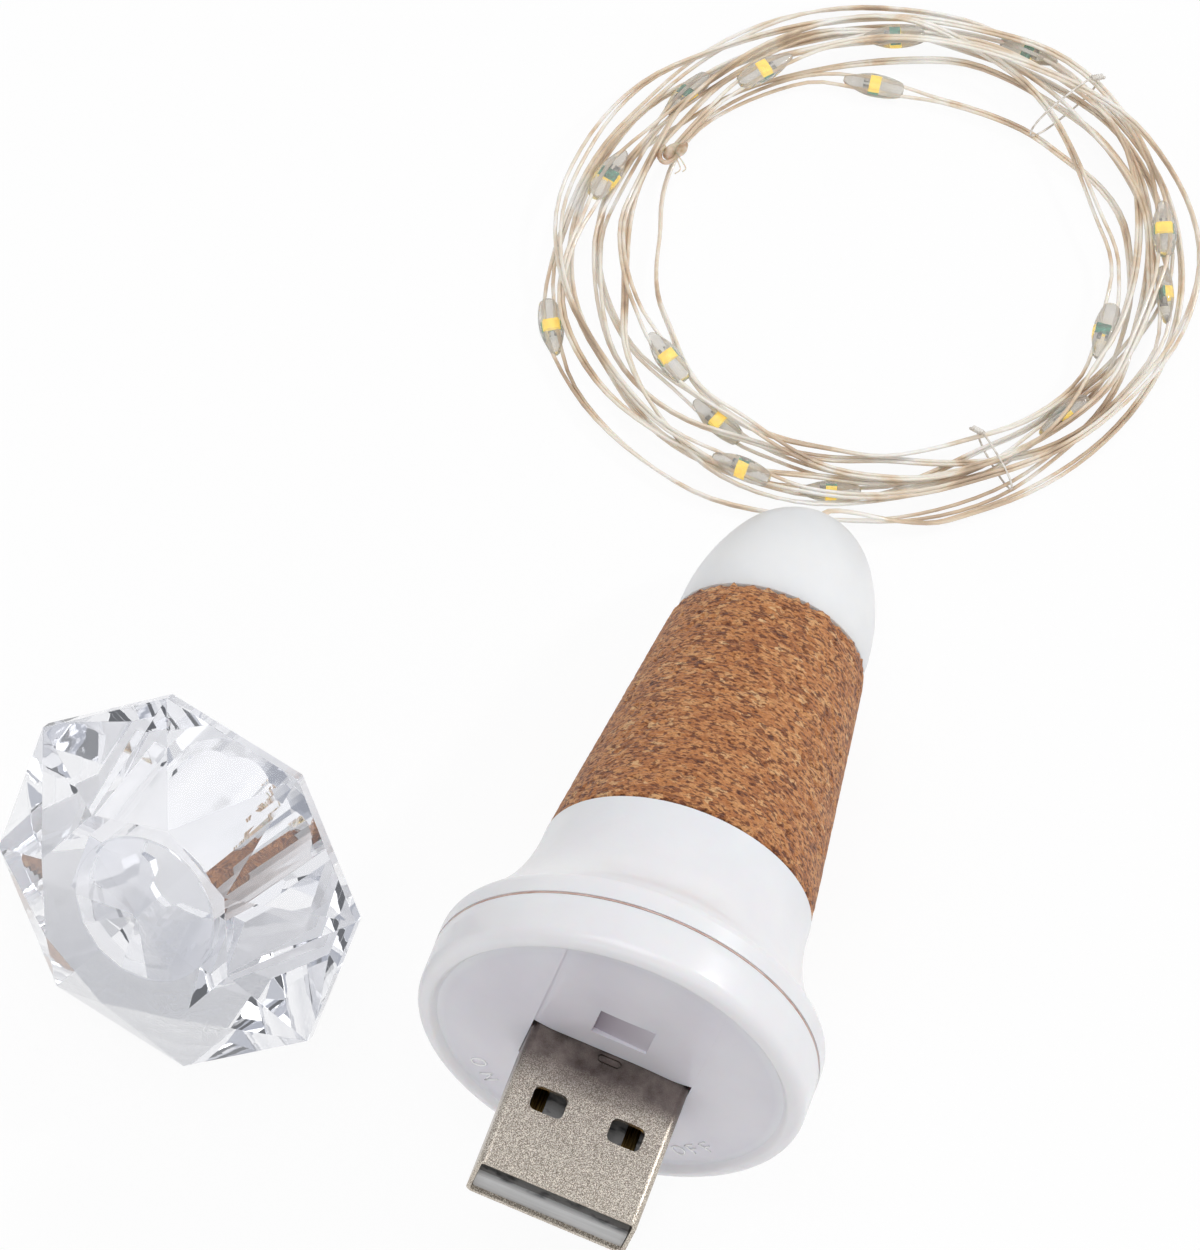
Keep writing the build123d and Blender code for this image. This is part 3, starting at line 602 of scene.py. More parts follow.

# %% [markdown]
# ## Finish: nickel plated sheet
# The plug's shell is folded from thin sheet, blasted with fine beads and plated. Each bead leaves
# a tiny dimple that flashes light or dark, so the finish is a fine speckle; its light and dark
# flecks in the colour are painted glints and painted shade. Near the root the plating is smooth,
# and its darker tone there is painted shade and a painted reflection of the dish. Dimples in the
# mesh would take millions of faces, so a very fine noise stands for them. Two modifiers join the
# sheet's corners and round its edges.

# %% Nickel plate
nickel, shader = finish_of("nickel_plate", (0.50, 0.46, 0.41), 0.30, Metallic=1.0)
place = stopper_place(shader)
grain = clouds(place, 13.0, 2.0)
# Painted glints and shade: the dimples' light and dark flecks, put into the colour.
speckle = tones(grain, [(0.34, (0.22, 0.18, 0.145)), (0.50, (0.45, 0.395, 0.33)),
                        (0.62, (0.86, 0.80, 0.70))])
# Painted shade and painted reflection of the dish, darker towards the root.
root_painted_shade = tones(clouds(place, 0.8, 3.0),
                    [(0.3, (0.085, 0.068, 0.062)), (0.7, (0.21, 0.175, 0.16))])
uneven_edge = maths("MULTIPLY_ADD", clouds(place, 0.45, 3.0), 2.2, one_axis(place, 2))
root_shade_part = between(uneven_edge, 0.0, 0.95, -2.6, -0.4)
fill(shader, {"Base Color": mixed(root_shade_part, speckle, root_painted_shade)})
fill(shader, {"Roughness": between(grain, 0.22, 0.42)})
bumps(shader, grain, 0.035, 0.45)
coat_nodes(nickel, "usb_shell")
shell = bpy.data.objects["usb_shell"]
joined = shell.modifiers.new("joined corners", "WELD")
joined.merge_threshold = 0.002 * MM
round_edges(shell, "rounded edges", 0.07, 50)

# %% [markdown]
# ## Finishes of the tongue, contacts and small metal
# Inside the plug a grey tongue carries four brass contacts, which have fine lines along their
# length from drawing. The ring, tabs and cell are plain sheet steel, and the boards are pale.
# Little of them is ever seen, so a pattern or two each is enough.

# %% Tongue and contacts
tongue_grey, shader = finish_of("tongue_plastic", (0.42, 0.42, 0.42), 0.5)
place = stopper_place(shader)
# Painted shade: the tongue is dark inside the shell, and painted lighter at its front end, where
# light falls.
inner_painted_shade = tones(clouds(scaled_by(place, (0.5, 1, 1)), 1.4, 3.0),
               [(0.36, (0.10, 0.10, 0.105)), (0.52, (0.34, 0.34, 0.345))])
front = tones(clouds(scaled_by(place, (0.15, 2.0, 1)), 1.2, 3.0),
              [(0.35, (0.50, 0.50, 0.50)), (0.65, (0.60, 0.60, 0.60))])
at_front = between(one_axis(place, 2), 1.0, 0.0, -11.00, -10.86)
fill(shader, {"Base Color": mixed(at_front, inner_painted_shade, front)})
bumps(shader, clouds(place, 5.0, 2.0), 0.02)
coat_nodes(tongue_grey, "usb_tongue")

brass, shader = finish_of("contact_brass", (0.42, 0.26, 0.09), 0.28, Metallic=1.0)
place = stopper_place(shader, (1, 1, 0.06))
drawn = tones(clouds(place, 6.0, 2.0),
              [(0.35, (0.16, 0.085, 0.025)), (0.55, (0.46, 0.29, 0.09)),
               (0.72, (0.72, 0.54, 0.24))])
fill(shader, {"Base Color": drawn})
coat_nodes(brass, "usb_contacts", "switch_wiper")

sheet_steel, shader = finish_of("sheet_steel", (0.55, 0.54, 0.52), 0.3, Metallic=1.0)
place = stopper_place(shader, (1, 1, 0.1))
roughen(shader, place, 3.0, 3.0, 0.2, 0.45)
mottle(shader, place, 0.6, 2.0, (0.48, 0.47, 0.45), (0.62, 0.61, 0.59))
coat_nodes(sheet_steel, "retaining_ring", "battery_tabs", "battery_cell")

pale_board, shader = finish_of("pale_board", (0.66, 0.65, 0.68), 0.45)
mottle(shader, stopper_place(shader), 2.0, 3.0, (0.60, 0.59, 0.63), (0.70, 0.69, 0.72))
coat_nodes(pale_board, "circuit_board", "contact_plate", "charge_led")

chip_black, shader = finish_of("chip_black", (0.03, 0.03, 0.032), 0.5)
mottle(shader, stopper_place(shader), 6.0, 3.0, (0.020, 0.020, 0.022), (0.045, 0.045, 0.048))
coat_nodes(chip_black, "charge_chip", "board_parts")

# %% [markdown]
# ## Finish: the string's wires
# Each wire is fine copper under a clear, champagne coloured insulation. It looks beige to brown
# where it turns away from the light and nearly white where the gloss catches it. Its tone drifts
# along the string. A metal would turn dark against a white table, so this is a pale base under a
# glossy coat.

# %% String wire
champagne, shader = finish_of(
    "string_wire", (0.62, 0.45, 0.30), 0.30, Subsurface_Weight=0.10, Subsurface_Scale=0.001,
    Coat_Weight=1.0, Coat_Roughness=0.10)
place = table_place(shader)
drift = tones(clouds(place, 0.17, 4.0, 1.0),
              [(0.30, (0.50, 0.37, 0.25)), (0.42, (0.76, 0.60, 0.43)),
               (0.53, (0.88, 0.80, 0.69)), (0.68, (0.97, 0.94, 0.90))])
fill(shader, {"Base Color": drift})
roughen(shader, place, 1.4, 3.0, 0.2, 0.42)
bumps(shader, clouds(place, 3.0, 2.0), 0.02)
string.data.materials.append(champagne)
coat_nodes(champagne, "battery_leads", "inner_wires")

# %% [markdown]
# ## The lamps in their drops
# Each lamp is a yellow chip on a tiny green board, soldered across the two wires and dipped in
# clear resin that sets as a drop. The drop is widest at the lamp, runs out along the wires on one
# side and was cut off short on the other. Its surface is a grid: rows along the string, columns
# round it, with a half width and a half height that change from row to row. Each one is rolled
# by its own angle, so some show the lamp, some its edge and some the green back.

# %% Finishes of a drop and its lamp
clear_resin, shader = finish_of(
    "clear_resin", (0.97, 0.94, 0.90), 0.08, IOR=1.38, Transmission_Weight=0.76)
place = table_place(shader)
mottle(shader, place, 0.9, 3.0, (0.92, 0.89, 0.84), (0.99, 0.98, 0.96))
roughen(shader, place, 1.5, 3.0, 0.03, 0.20)
bumps(shader, clouds(place, 1.2, 2.0), 0.10)

# The chip's faint glow is painted light that keeps its yellow bright inside the drop.
yellow_painted_glow, shader = finish_of("lamp_yellow", (0.95, 0.66, 0.0), 0.4, Emission_Strength=0.55)
yellow = mottle(shader, table_place(shader), 2.5, 3.0, (0.90, 0.58, 0.0), (1.0, 0.76, 0.01))
fill(shader, {"Emission Color": yellow})

lamp_board, shader = finish_of("lamp_board_green", (0.01, 0.30, 0.17), 0.4)
mottle(shader, table_place(shader), 3.0, 2.0, (0.01, 0.16, 0.09), (0.02, 0.42, 0.25), (0.35, 0.6))

solder, shader = finish_of("solder", (0.30, 0.29, 0.28), 0.35, Metallic=1.0)
mottle(shader, table_place(shader), 3.0, 2.0, (0.10, 0.095, 0.09), (0.50, 0.48, 0.45), (0.35, 0.6))

# %% Shape of a drop and of its lamp
drop_length, drop_half_width, drop_half_height = 4.7, 0.96, 0.70
widest = 0.52
drop_rolls = np.radians([0, 180, 70, 205, 88, 5, 0, 180, 10, 170, 100, 185, -5, 60, 8])


def drop_skin(rows=28, columns=24):
    """Drop along X, s from 0 to 1 along it. Half width and half height swell as 0.34 + 0.66
    sin(pi/2 s/s0)^1.25 up to the widest place s0, then shrink as 1 - 0.42 t^2.2, where t runs
    from 0 there to 1 at the blunt cut end."""
    share = np.linspace(0, 1, rows)
    rise = np.clip(share / widest, 0, 1)
    fall = np.clip((share - widest) / (1 - widest), 0, 1)
    swell = (0.34 + 0.66 * np.sin(np.pi / 2 * rise) ** 1.25) * (1 - 0.42 * fall**2.2)
    swell[0] *= 0.55
    swell[-1] *= 0.70
    angle = np.linspace(0, 2 * np.pi, columns, endpoint=False)
    across = drop_half_width * swell[:, None] * np.cos(angle)
    high = drop_half_height * swell[:, None] * np.sin(angle)
    along = np.broadcast_to(drop_length * (share[:, None] - widest), across.shape)
    skin = np.stack([along, across, high], -1).reshape(-1, 3)
    return skin, grid_faces(rows, columns, closed=True)


def block(middle, size):
    """A box, as 8 points and 6 faces that point outwards."""
    corner = np.array([(x, y, z) for x in (-1, 1) for y in (-1, 1) for z in (-1, 1)]) / 2
    faces = [(0, 1, 3, 2), (4, 6, 7, 5), (0, 4, 5, 1), (2, 3, 7, 6), (0, 2, 6, 4), (1, 5, 7, 3)]
    return np.asarray(middle) + corner * np.asarray(size), faces


# The board and the chip on it, then the two dots of solder.
lamp_parts = [block((0, 0, -0.06), (0.80, 1.24, 0.14)), block((0.02, 0, 0.27), (0.82, 1.16, 0.50))]
lamp_parts += [block((-0.62, side, -0.02), (0.42, 0.30, 0.22)) for side in (0.26, -0.26)]
skin, faces = drop_skin()
print("drop", drop_length, "mm long, faces", len(faces), "lamp parts", len(lamp_parts))

# %% Fifteen drops along the string
for index, (travelled, spin) in enumerate(zip(coil_travel, drop_rolls)):
    middle, ahead = (np.array([np.interp(travelled, travel, line[:, axis]) for axis in range(3)])
                     for line in (path, way))
    ahead = unit(ahead)
    level = unit(np.cross((0, 0, 1), ahead))
    side = level * math.cos(spin) + np.cross(ahead, level) * math.sin(spin)
    way_round = 1 if index % 3 else -1
    axes = np.stack([way_round * ahead, way_round * side, np.cross(ahead, side)])
    middle[2] = max(middle[2], 0.03 - (skin @ axes)[:, 2].min())
    drop = new_piece(f"drop_{index + 1:02d}", middle + skin @ axes, faces)
    drop.data.materials.append(clear_resin)
    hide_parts(f"led_bead_{index + 1:02d}")
    points, lamp_faces = together(lamp_parts)
    lamp = new_piece(f"lamp_{index + 1:02d}", middle + points @ axes, lamp_faces, smooth=False)
    for finish in (lamp_board, yellow_painted_glow, solder):
        lamp.data.materials.append(finish)
    lamp.data.polygons.foreach_set("material_index", np.repeat([0, 1, 2, 2], 6))
    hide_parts(f"led_chip_{index + 1:02d}")
print("drops", len(bead_turns), "spaced", np.diff(coil_travel).mean().round(1), "mm apart")


# %% [markdown]
# ## The far end and the two ties
# The string ends in a small knob of resin, folded back on itself, with two fine wire ends that
# stick out. Two ties of thin wire hold the turns together. Each tie is a closed ring in the
# upright plane across the turns there, an ellipse that is fitted round the turns' own places,
# with its two ends twisted into a short tail. A real knot would cost many bends and look the same
# at this size.

# %% The folded end
knob_resin, shader = finish_of(
    "knob_resin", (0.62, 0.47, 0.32), 0.22, Subsurface_Weight=0.3, Subsurface_Scale=0.001,
    Coat_Weight=0.5, Coat_Roughness=0.1)
mottle(shader, table_place(shader), 1.1, 3.0, (0.40, 0.26, 0.14), (0.78, 0.66, 0.52), (0.35, 0.65))

end_ahead, end_level = way[-1], across[-1]
end_axes = np.stack([end_ahead, end_level, np.cross(end_ahead, end_level)])
skin, faces = drop_skin(16, 16)
knob = skin * (0.34, 0.52, 0.62) @ end_axes + path[-1] + 0.55 * end_ahead
fold_angle = np.linspace(-0.4, np.pi + 0.5, 14)
fold = (path[-1] + 0.9 * end_ahead + np.cos(fold_angle)[:, None] * end_level * 0.62
        + np.sin(fold_angle)[:, None] * end_ahead * 0.80 + (0, 0, 0.15))
second = skin * (0.28, 0.44, 0.50) @ end_axes + fold[-1] - 0.5 * end_ahead
parts = [(knob, faces), tube(fold, 0.20), (second, faces)]
for lean_out, reach in ((-0.9, 2.6), (-1.5, 1.9)):
    share = np.linspace(0, 1, 14)[:, None]
    parts.append(tube(path[-1] + share * reach * (end_ahead + lean_out * end_level) * 0.7
                      + np.sin(share * 7) * 0.35 * end_level, 0.05))
points, faces = together(parts)
points[:, 2] = np.maximum(points[:, 2], 0.02)
string_knob = new_piece("string_knob", points, faces)
string_knob.data.materials.append(knob_resin)
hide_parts("string_end")
print("knob faces", len(string_knob.data.polygons))

# %% Ties
tie_wire, shader = finish_of("tie_wire", (0.78, 0.72, 0.64), 0.25, Coat_Weight=0.5)
mottle(shader, table_place(shader), 2.0, 3.0, (0.62, 0.54, 0.45), (0.86, 0.83, 0.78), (0.35, 0.6))
from_middle = path - (coil_x, coil_y, 0)
angle_of_path = np.degrees(np.arctan2(from_middle[:, 1], from_middle[:, 0]))
reach_of_path = np.hypot(from_middle[:, 0], from_middle[:, 1])
tie_beside, tie_over, tie_under = 0.45, 0.42, 0.12
for index, (tie_angle, tail_side) in enumerate(((41, 1), (-62, -1))):
    crossing = (np.abs(angle_of_path - tie_angle) < 2.5) & (travel > 20)
    near = reach_of_path[crossing].min() - tie_beside
    far = reach_of_path[crossing].max() + tie_beside
    top = path[crossing, 2].max() + tie_over
    outward = np.array([math.cos(math.radians(tie_angle)), math.sin(math.radians(tie_angle)), 0])
    turn = np.linspace(0, 2 * np.pi, 49)
    squared = np.abs(np.cos(turn)) ** 0.75 * np.sign(np.cos(turn))
    ring = (np.array([coil_x, coil_y, (top + tie_under) / 2])
            + ((near + far) / 2 + (far - near) / 2 * squared)[:, None] * outward
            + ((top - tie_under) / 2 * np.sin(turn))[:, None] * np.array([0, 0, 1]))
    knot = ring[6] if tail_side > 0 else ring[18]
    share = np.linspace(0, 1, 24)[:, None]
    along_ring = np.cross(outward, (0, 0, 1))
    parts = [tube(ring, 0.085)]
    tail = knot + share * (0.7 * tail_side * outward + 0.5 * along_ring + (0, 0, 0.15))
    for phase in (0, np.pi):
        twist = 16 * share + phase
        strand = 0.16 * (np.cos(twist) * along_ring + np.sin(twist) * np.array([0, 0, 1]))
        parts.append(tube(tail + strand, 0.11))
    points, faces = together(parts)
    points[:, 2] = np.maximum(points[:, 2], 0.015)
    tie = new_piece(f"tie_{index + 1}", points, faces)
    tie.data.materials.append(tie_wire)
    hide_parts(f"coil_tie_{index + 1}")
    print("tie", index + 1, "holds turns from", near.round(1), "to", far.round(1), "mm out")

# %% [markdown]
# ## Cork sleeve
# The sleeve is pressed cork: grains of every brown, packed and turned to a taper, with pits where
# grains fell out and crumbled rims. The outside is a cone, radius falling from the collar to the
# tip, pushed in at each pit by random height maps of two grain sizes. The maps are grids of
# random numbers that are blended smoothly between their points and close round the cork. Bumps in
# the finish alone would leave the outline as straight as a pipe.

# %% Cork surface
random = np.random.default_rng(7)


def smooth_map(rows, columns, cells_along, cells_round):
    """Random heights from 0 to 1 on a coarse grid, blended with an s-curve on to a fine grid;
    the columns close on themselves."""
    coarse = random.random((cells_along + 2, cells_round))
    row = np.linspace(0, cells_along, rows)
    column = np.linspace(0, cells_round, columns, endpoint=False)
    low_row, low_column = row.astype(int), column.astype(int)
    row_share, column_share = row - low_row, column - low_column
    row_share = (row_share * row_share * (3 - 2 * row_share))[:, None]
    column_share = (column_share * column_share * (3 - 2 * column_share))[None, :]
    next_column = (low_column + 1) % cells_round
    first, second = (coarse[row][:, low_column] * (1 - column_share)
                     + coarse[row][:, next_column] * column_share for row in (low_row, low_row + 1))
    return first * (1 - row_share) + second * row_share


cork_front, cork_back = 17.17, 39.36
cork_front_radius, cork_back_radius, cork_bore = 10.19, 7.52, 6.32
pit_depth, grain_depth, rim_depth, rim_fade = 0.55, 0.05, 0.28, 44
rows, columns = 128, 400
share = np.linspace(0, 1, rows)[:, None]
angle = np.linspace(0, 2 * np.pi, columns, endpoint=False)[None, :]
coarse_grain = smooth_map(rows, columns, 24, 54)
fine_grain = smooth_map(rows, columns, 70, 190)
pit = np.clip(coarse_grain * 0.6 + fine_grain * 0.6 - 0.74, 0, 1)
rim = np.exp(-rim_fade * share) + np.exp(-rim_fade * (1 - share))
crumble = smooth_map(2, columns, 1, 120)[:1]
skin_radius = (cork_front_radius + (cork_back_radius - cork_front_radius) * share
               - pit_depth * pit - grain_depth * fine_grain - rim_depth * rim * (0.25 + crumble))
place_along = cork_front + (cork_back - cork_front) * share + 0 * angle
place_along[:3] += 0.45 * crumble * np.array([[1.0], [0.5], [0.2]])
place_along[-3:] -= 0.35 * crumble * np.array([[0.2], [0.5], [1.0]])
front_rim = np.full((1, columns), cork_bore)
radius = np.vstack([front_rim, skin_radius, front_rim])
place_along = np.vstack([np.full((1, columns), cork_front + 0.2), place_along,
                         np.full((1, columns), cork_back - 0.2)])
angle = np.broadcast_to(angle, radius.shape)
skin = on_stopper(radius * np.cos(angle), radius * np.sin(angle), place_along).reshape(-1, 3)
faces = grid_faces(rows + 2, columns)
last = (rows + 1) * columns
column = np.arange(columns)
beside = (column + 1) % columns
faces += np.stack([last + column, last + beside, beside, column], -1).tolist()
faces = [face[::-1] for face in faces]
cork = new_piece("cork", skin, faces)
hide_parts("cork_sleeve")
print("cork faces", len(faces), "deepest pit", (pit_depth * pit.max()).round(2), "mm")

# %% [markdown]
# The grains' colours come from two layers of random patches, stretched round the cork, between
# dark bark, warm brown and pale flecks. Fine noise breaks up each grain.

# %% Cork finish
cork_brown, shader = finish_of("cork", (0.38, 0.15, 0.06), 0.75, Sheen_Weight=0.15)
place = stopper_place(shader, (0.55, 0.55, 1.25))
stray = clouds(place, 1.6, 3.0, output="Color")
rough_place = add_node(shader.id_data, "VectorMath", {0: place, 1: stray})
rough_place.operation = "ADD"
grains = tones(cells(rough_place.outputs[0], 2.6),
               [(0.10, (0.29, 0.098, 0.033)), (0.30, (0.52, 0.200, 0.064)),
                (0.55, (0.63, 0.270, 0.094)), (0.80, (0.73, 0.365, 0.145)),
                (0.97, (0.86, 0.560, 0.290))])
flecks = tones(clouds(place, 4.2, 4.0), [(0.40, (0.16, 0.05, 0.02)), (0.50, (1, 1, 1))])
fine = tones(clouds(place, 9.0, 3.0), [(0.3, (0.62, 0.54, 0.46)), (0.62, (1, 1, 1))])
body_colour = mixed(0.80, grains, flecks, "MULTIPLY")
fill(shader, {"Base Color": mixed(0.9, body_colour, fine, "MULTIPLY")})
bumps(shader, clouds(place, 4.6, 5.0), 0.20)
cork.data.materials.append(cork_brown)
print("cork finish nodes", len(cork_brown.node_tree.nodes))

# %% [markdown]
# ## Twist head
# The head's front is a shallow dome inside a rounded lip, with a flat channel of the plug's width
# from the plug up to the lip. Its skin is a profile of (radius, place along the stopper) points,
# turned about the axis. The channel, the plug's slot and the lamp's opening are cut afterwards.
# The channel's cutter follows the dome, and the other two are boxes. Cutting keeps the turned
# skin a plain grid, which would otherwise need its own rows and columns round every corner.

# %% Head profile
head_outside, lip_round, head_back, head_bore = 14.46, 1.05, 5.175, 13.08
lip_top, dish_edge, dish_deep, face_front = 1.26, 12.90, 1.70, 0.43


def face_place(radius):
    """Where the dome's face lies along the stopper at this radius: flat in the middle, then
    sloping back as the distance beyond 5.2 mm, to the power 1.15."""
    out = np.clip((np.asarray(radius, float) - 5.2) / (dish_edge - 5.2), 0, 1)
    return face_front + (dish_deep - face_front) * out**1.15


lip_turn = np.linspace(0, np.pi / 2, 9)
face_radius = np.linspace(0.02, dish_edge, 40)
rise_to_lip = np.array([0.12, 0.38, 0.68, 0.90, 1])
outline = np.concatenate([
    np.stack([face_radius, face_place(face_radius)], -1),
    np.stack([np.linspace(12.98, 13.38, 5), dish_deep - (dish_deep - lip_top) * rise_to_lip], -1),
    np.stack([head_outside - lip_round + lip_round * np.sin(lip_turn),
              lip_top + lip_round - lip_round * np.cos(lip_turn)], -1),
    np.array([(head_outside, 3.2), (head_outside, 4.2), (head_outside, 5.02),
              (head_outside - 0.05, 5.12), (head_outside - 0.15, head_back),
              (head_bore, head_back), (head_bore, 2.1), (0.02, 2.1)])])
around = np.linspace(0, 2 * np.pi, 192, endpoint=False)


def turned(profile):
    """Skin of a profile of (radius, place along the stopper) points, turned about the axis."""
    radius, place_along = profile[:, :1], profile[:, 1:] + 0 * around
    return on_stopper(radius * np.cos(around), radius * np.sin(around), place_along).reshape(-1, 3)


head_faces = grid_faces(len(outline), len(around), closed=True)
head = new_piece("twist_head", turned(outline), head_faces, body="head")


# %% Cutters for the channel, the slot and the opening
def cutter(name, corners):
    """A six-sided cutter from its eight corners, across, down and along the stopper."""
    corners = np.asarray(corners, float)
    _, faces = block((0, 0, 0), (1, 1, 1))
    return new_piece(name, on_stopper(*corners.T), faces, body=None, smooth=False)


def box_corners(across, down, along):
    """Corners of a box between two values across, two down and two along the stopper."""
    return [(x, y, z) for x in across for y in down for z in along]


def channel_cutter(lines=25, steps=40):
    """Cutter for the channel: its floor lies below the dome by 0.15 mm at the left, fading to
    0.02 mm at the right, and reaches from the plug to the circle where the dish ends."""
    across = np.linspace(-6.05, 6.05, lines)[:, None]
    share = np.linspace(0, 1, steps)[None, :]
    down = -2.2 + (2.2 - np.sqrt((dish_edge - 0.05)**2 - across**2)) * share
    floor = face_place(np.hypot(across, down)) + 0.15 - 0.13 * ramp(across, 1.5, 6.05)
    across, down = (np.hstack([a, a[:, -1:], a[:, :1]]) for a in (across + 0 * down, down))
    floor = np.hstack([floor, np.full((lines, 2), -3.0)])
    skin = on_stopper(across, down, floor).reshape(-1, 3)
    faces = grid_faces(lines, steps + 2, closed=True)
    return new_piece("cut_channel", skin, faces, body=None, smooth=False)


cutters = [
    channel_cutter(),
    cutter("cut_slot", box_corners((-6.05, 6.05), (-2.30, 2.30), (-3, 4))),
    cutter("cut_opening", box_corners((-2.075, 2.075), (-6.765, -4.115), (-3, 1.90))),
]
print("cutters", [tool.name for tool in cutters])

# %% Cut the head
for tool in cutters:
    cut = head.modifiers.new(tool.name, "BOOLEAN")
    cut.operation = "DIFFERENCE"
    cut.object = tool
    cut.solver = "EXACT"
scene_now = bpy.context.evaluated_depsgraph_get()
finished = bpy.data.meshes.new_from_object(head.evaluated_get(scene_now))
head.modifiers.clear()
head.data = finished
for tool in cutters:
    bpy.data.objects.remove(tool)
head.data.shade_smooth()
head.data.set_sharp_from_angle(angle=math.radians(28))
head.data.materials.clear()
head.data.materials.append(white_plastic)
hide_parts("head_disc")
print("head faces", len(head.data.polygons))

# %% Window of the charging lamp
# The window's grey, dark on one side and lighter across to the other, is painted shade of the recess.
window_grey, shader = finish_of("window_grey", (0.50, 0.47, 0.52), 0.5)
across_window = one_axis(stopper_place(shader), 0)
shade = tones(between(across_window, 0.0, 1.0, -2.1, 2.1),
              [(0.0, (0.30, 0.26, 0.31)), (0.35, (0.46, 0.42, 0.48)), (1.0, (0.60, 0.57, 0.63))])
fill(shader, {"Base Color": shade})
window = cutter("lamp_window", [(x, y, z) for x, front in ((-2.10, 0.98), (2.10, 0.76))
                                for y in (-6.79, -4.09) for z in (front, 1.92)])
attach(window, "head")
window.data.materials.append(window_grey)
print("window faces", len(window.data.polygons))

# %% Seam line
# A thin ring in the gap carries the seam's painted shadow and dirt.
seam_radius, seam_place, seam_sides = 14.34, 5.25, 6
seam_turn = np.linspace(0, 2 * np.pi, seam_sides, endpoint=False)
seam_line = np.stack([seam_radius + 0.055 * np.cos(seam_turn),
                      seam_place + 0.065 * np.sin(seam_turn)], -1)
row, column = np.meshgrid(np.arange(seam_sides), np.arange(len(around)), indexing="ij")
beside = (column + 1) % len(around)
above = (row + 1) % seam_sides
corners = [row * len(around) + column, above * len(around) + column,
           above * len(around) + beside, row * len(around) + beside]
faces = np.stack(corners, -1).reshape(-1, 4).tolist()
seam = new_piece("seam_line", turned(seam_line), faces, body="head")
seam.data.materials.append(seam_plastic)
print("seam line faces", len(faces))

# %% [markdown]
# ## ON and OFF
# The words are raised on the dish in thin rounded strokes, with their tops towards the middle.
# Each stroke is a tube along a few points. A letter is drawn on a small upright grid, one unit
# high, then placed by its middle, with up pointing at the dish's centre. A text object would give
# flat strokes with square ends.

# %% Raised letters
round_turn = np.linspace(0, 2 * np.pi, 29)
strokes_of = {
    "O": [np.stack([0.36 * np.cos(round_turn), 0.5 * np.sin(round_turn)], -1)],
    "N": [np.array([(-0.32, -0.5), (-0.32, 0.5), (0.32, -0.5), (0.32, 0.5)])],
    "F": [np.array([(-0.26, -0.5), (-0.26, 0.5), (0.30, 0.5)]),
          np.array([(-0.26, 0.03), (0.20, 0.03)])],
}
letter_height, stroke_radius = 1.15, 0.085
parts = []
for letter, across_dish, up_dish in (("O", -8.20, -5.98), ("N", -7.09, -7.37), ("O", 7.42, -6.51),
                                     ("F", 8.33, -5.56), ("F", 9.14, -4.54)):
    middle = np.array([across_dish, up_dish])
    letter_up = unit(-middle)
    letter_right = np.array([letter_up[1], -letter_up[0]])
    for stroke in strokes_of[letter]:
        bends = np.linspace(0, len(stroke) - 1, 4 * (len(stroke) - 1) + 1)
        line = np.stack([np.interp(bends, np.arange(len(stroke)), values) for values in stroke.T], -1)
        flat = middle + letter_height * (line[:, :1] * letter_right + line[:, 1:] * letter_up)
        deeper = face_place(np.hypot(flat[:, 0], flat[:, 1]) * 1.06) - face_front
        down = -flat[:, 1] + 1.10 * deeper
        place_along = face_place(np.hypot(flat[:, 0], down)) - 0.02
        parts.append(tube(on_stopper(flat[:, 0], down, place_along), stroke_radius, 6))
points, faces = together(parts)
letters = new_piece("on_off_letters", points, faces, body="head")
# The strokes are painted lighter than the head's white, as a painted highlight on the raised letters.
letter_white, shader = finish_of("letter_white", (0.93, 0.93, 0.94), 0.25, Coat_Weight=0.6)
mottle(shader, stopper_place(shader), 1.5, 3.0, (0.90, 0.90, 0.92), (0.96, 0.96, 0.96))
letters.data.materials.append(letter_white)
print("letter strokes", len(parts))

# %% [markdown]
# ## Clear cap
# The cap is cast in clear acrylic, so its facets meet in soft, not razor, edges. The frame's mesh
# is loose triangles: a copy is merged and its flat facets made whole again, then a narrow bevel
# rounds every edge and catches the light. Every other point of the star hollow is drawn in, so
# that its ridges show. Slow bumps bend the view through the facets a little. Glass that is faked
# with mirrors alone would miss the pieces of table and stopper that show through each facet.

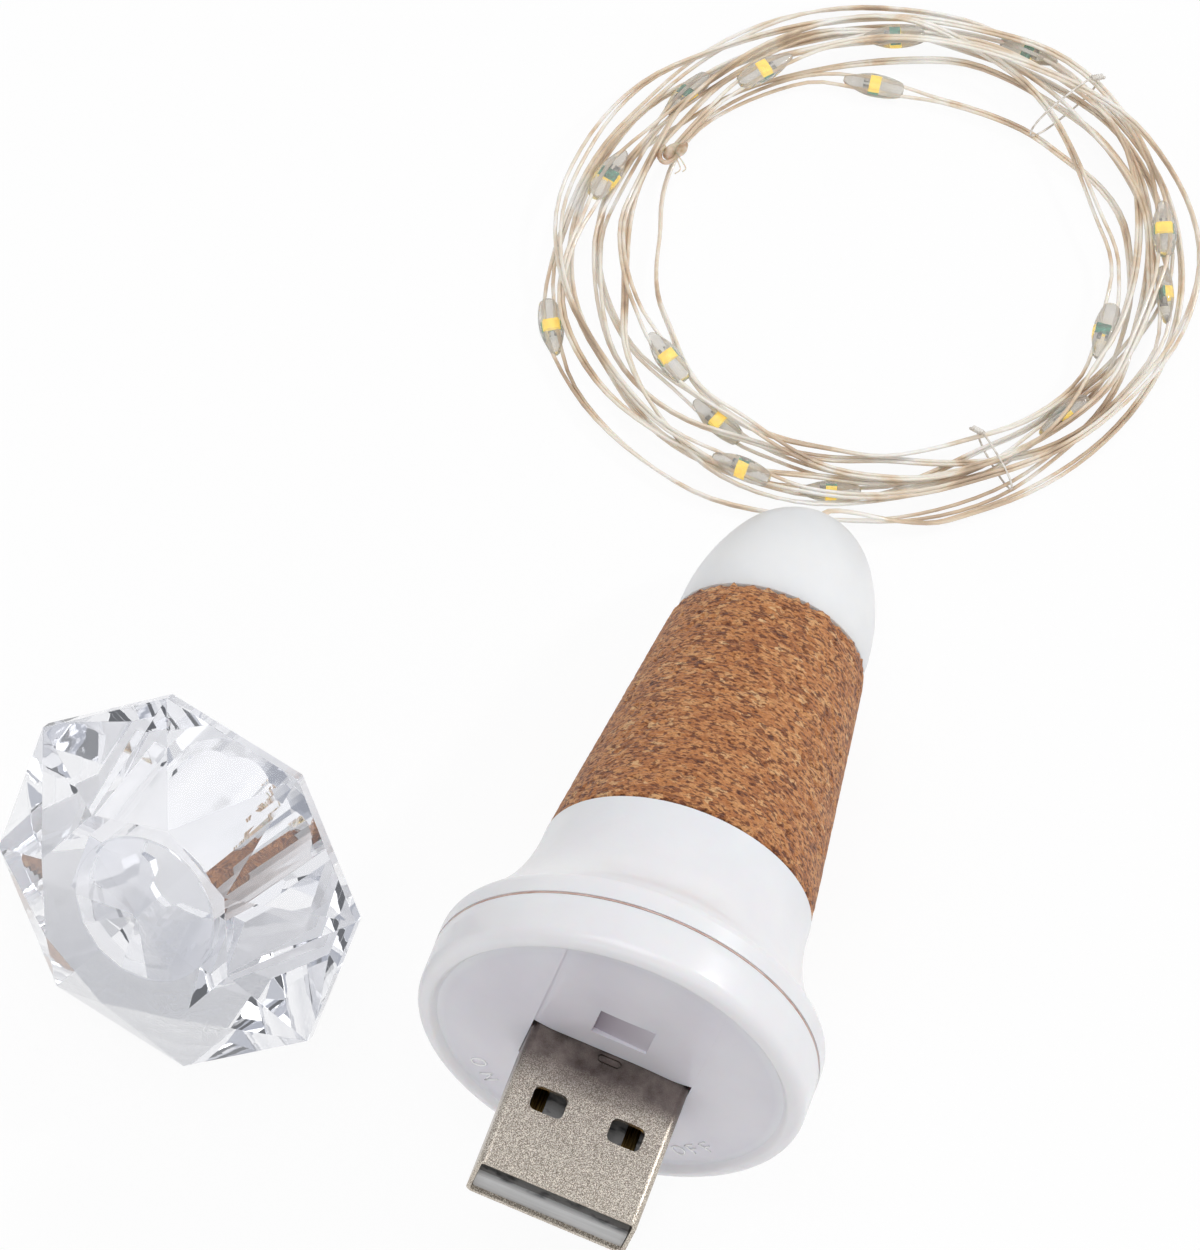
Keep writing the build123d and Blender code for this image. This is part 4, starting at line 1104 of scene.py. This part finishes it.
# %% Cap
# The faint blue-white glow is painted light that keeps the darkest facets grey, and the grey tint is
# painted shade of what is seen through the cap.
clear_acrylic, shader = finish_of(
    "clear_acrylic", (0.92, 0.93, 0.95), 0.0, IOR=1.46, Transmission_Weight=1.0,
    Emission_Color=(0.86, 0.90, 1.0, 1), Emission_Strength=0.02)
place = table_place(shader)
mottle(shader, place, 0.08, 2.0, (0.86, 0.87, 0.905), (0.95, 0.95, 0.96))
bumps(shader, clouds(place, 0.16, 2.0, 0.4), 0.08, 0.4)

cap = bpy.data.objects["diamond_cap"].copy()
cap.data = cap.data.copy()
cap.name = cap.data.name = "gem_cap"
bpy.context.scene.collection.objects.link(cap)
soft = bmesh.new()
soft.from_mesh(cap.data)
bmesh.ops.remove_doubles(soft, verts=soft.verts, dist=1e-6)
bmesh.ops.dissolve_limit(soft, angle_limit=math.radians(1.0), verts=soft.verts, edges=soft.edges)
soft.to_mesh(cap.data)
cap_middle = np.array([-18.845, -1.422, 11.487])
cap_along = np.array([-0.447025, -0.672827, 0.589468])
height_of_star, star_radius, star_drawn_in = 3.40, 5.60, 0.74
corners = np.array([corner.co for corner in soft.verts]) / MM - cap_middle
height = corners @ cap_along
sideways = corners - height[:, None] * cap_along
reach = np.linalg.norm(sideways, axis=1)
star = np.flatnonzero((np.abs(height - height_of_star) < 0.03)
                      & (np.abs(reach - star_radius) < 0.05))
cap_side = unit(np.cross(cap_along, (0, 0, 1)))
spoke = np.arctan2(sideways[star] @ np.cross(cap_along, cap_side), sideways[star] @ cap_side)
soft.verts.ensure_lookup_table()
for index in star[np.argsort(spoke)][::2]:
    drawn_in = cap_middle + height[index] * cap_along + star_drawn_in * sideways[index]
    soft.verts[index].co = Vector(drawn_in * MM)
print("cap facets", len(soft.faces), "star points", len(star))
soft.free()
cap.data.shade_flat()
cap.data.materials.clear()
cap.data.materials.append(clear_acrylic)
round_edges(cap, "soft edges", 0.14, 12)
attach(cap, "cap")
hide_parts("diamond_cap")
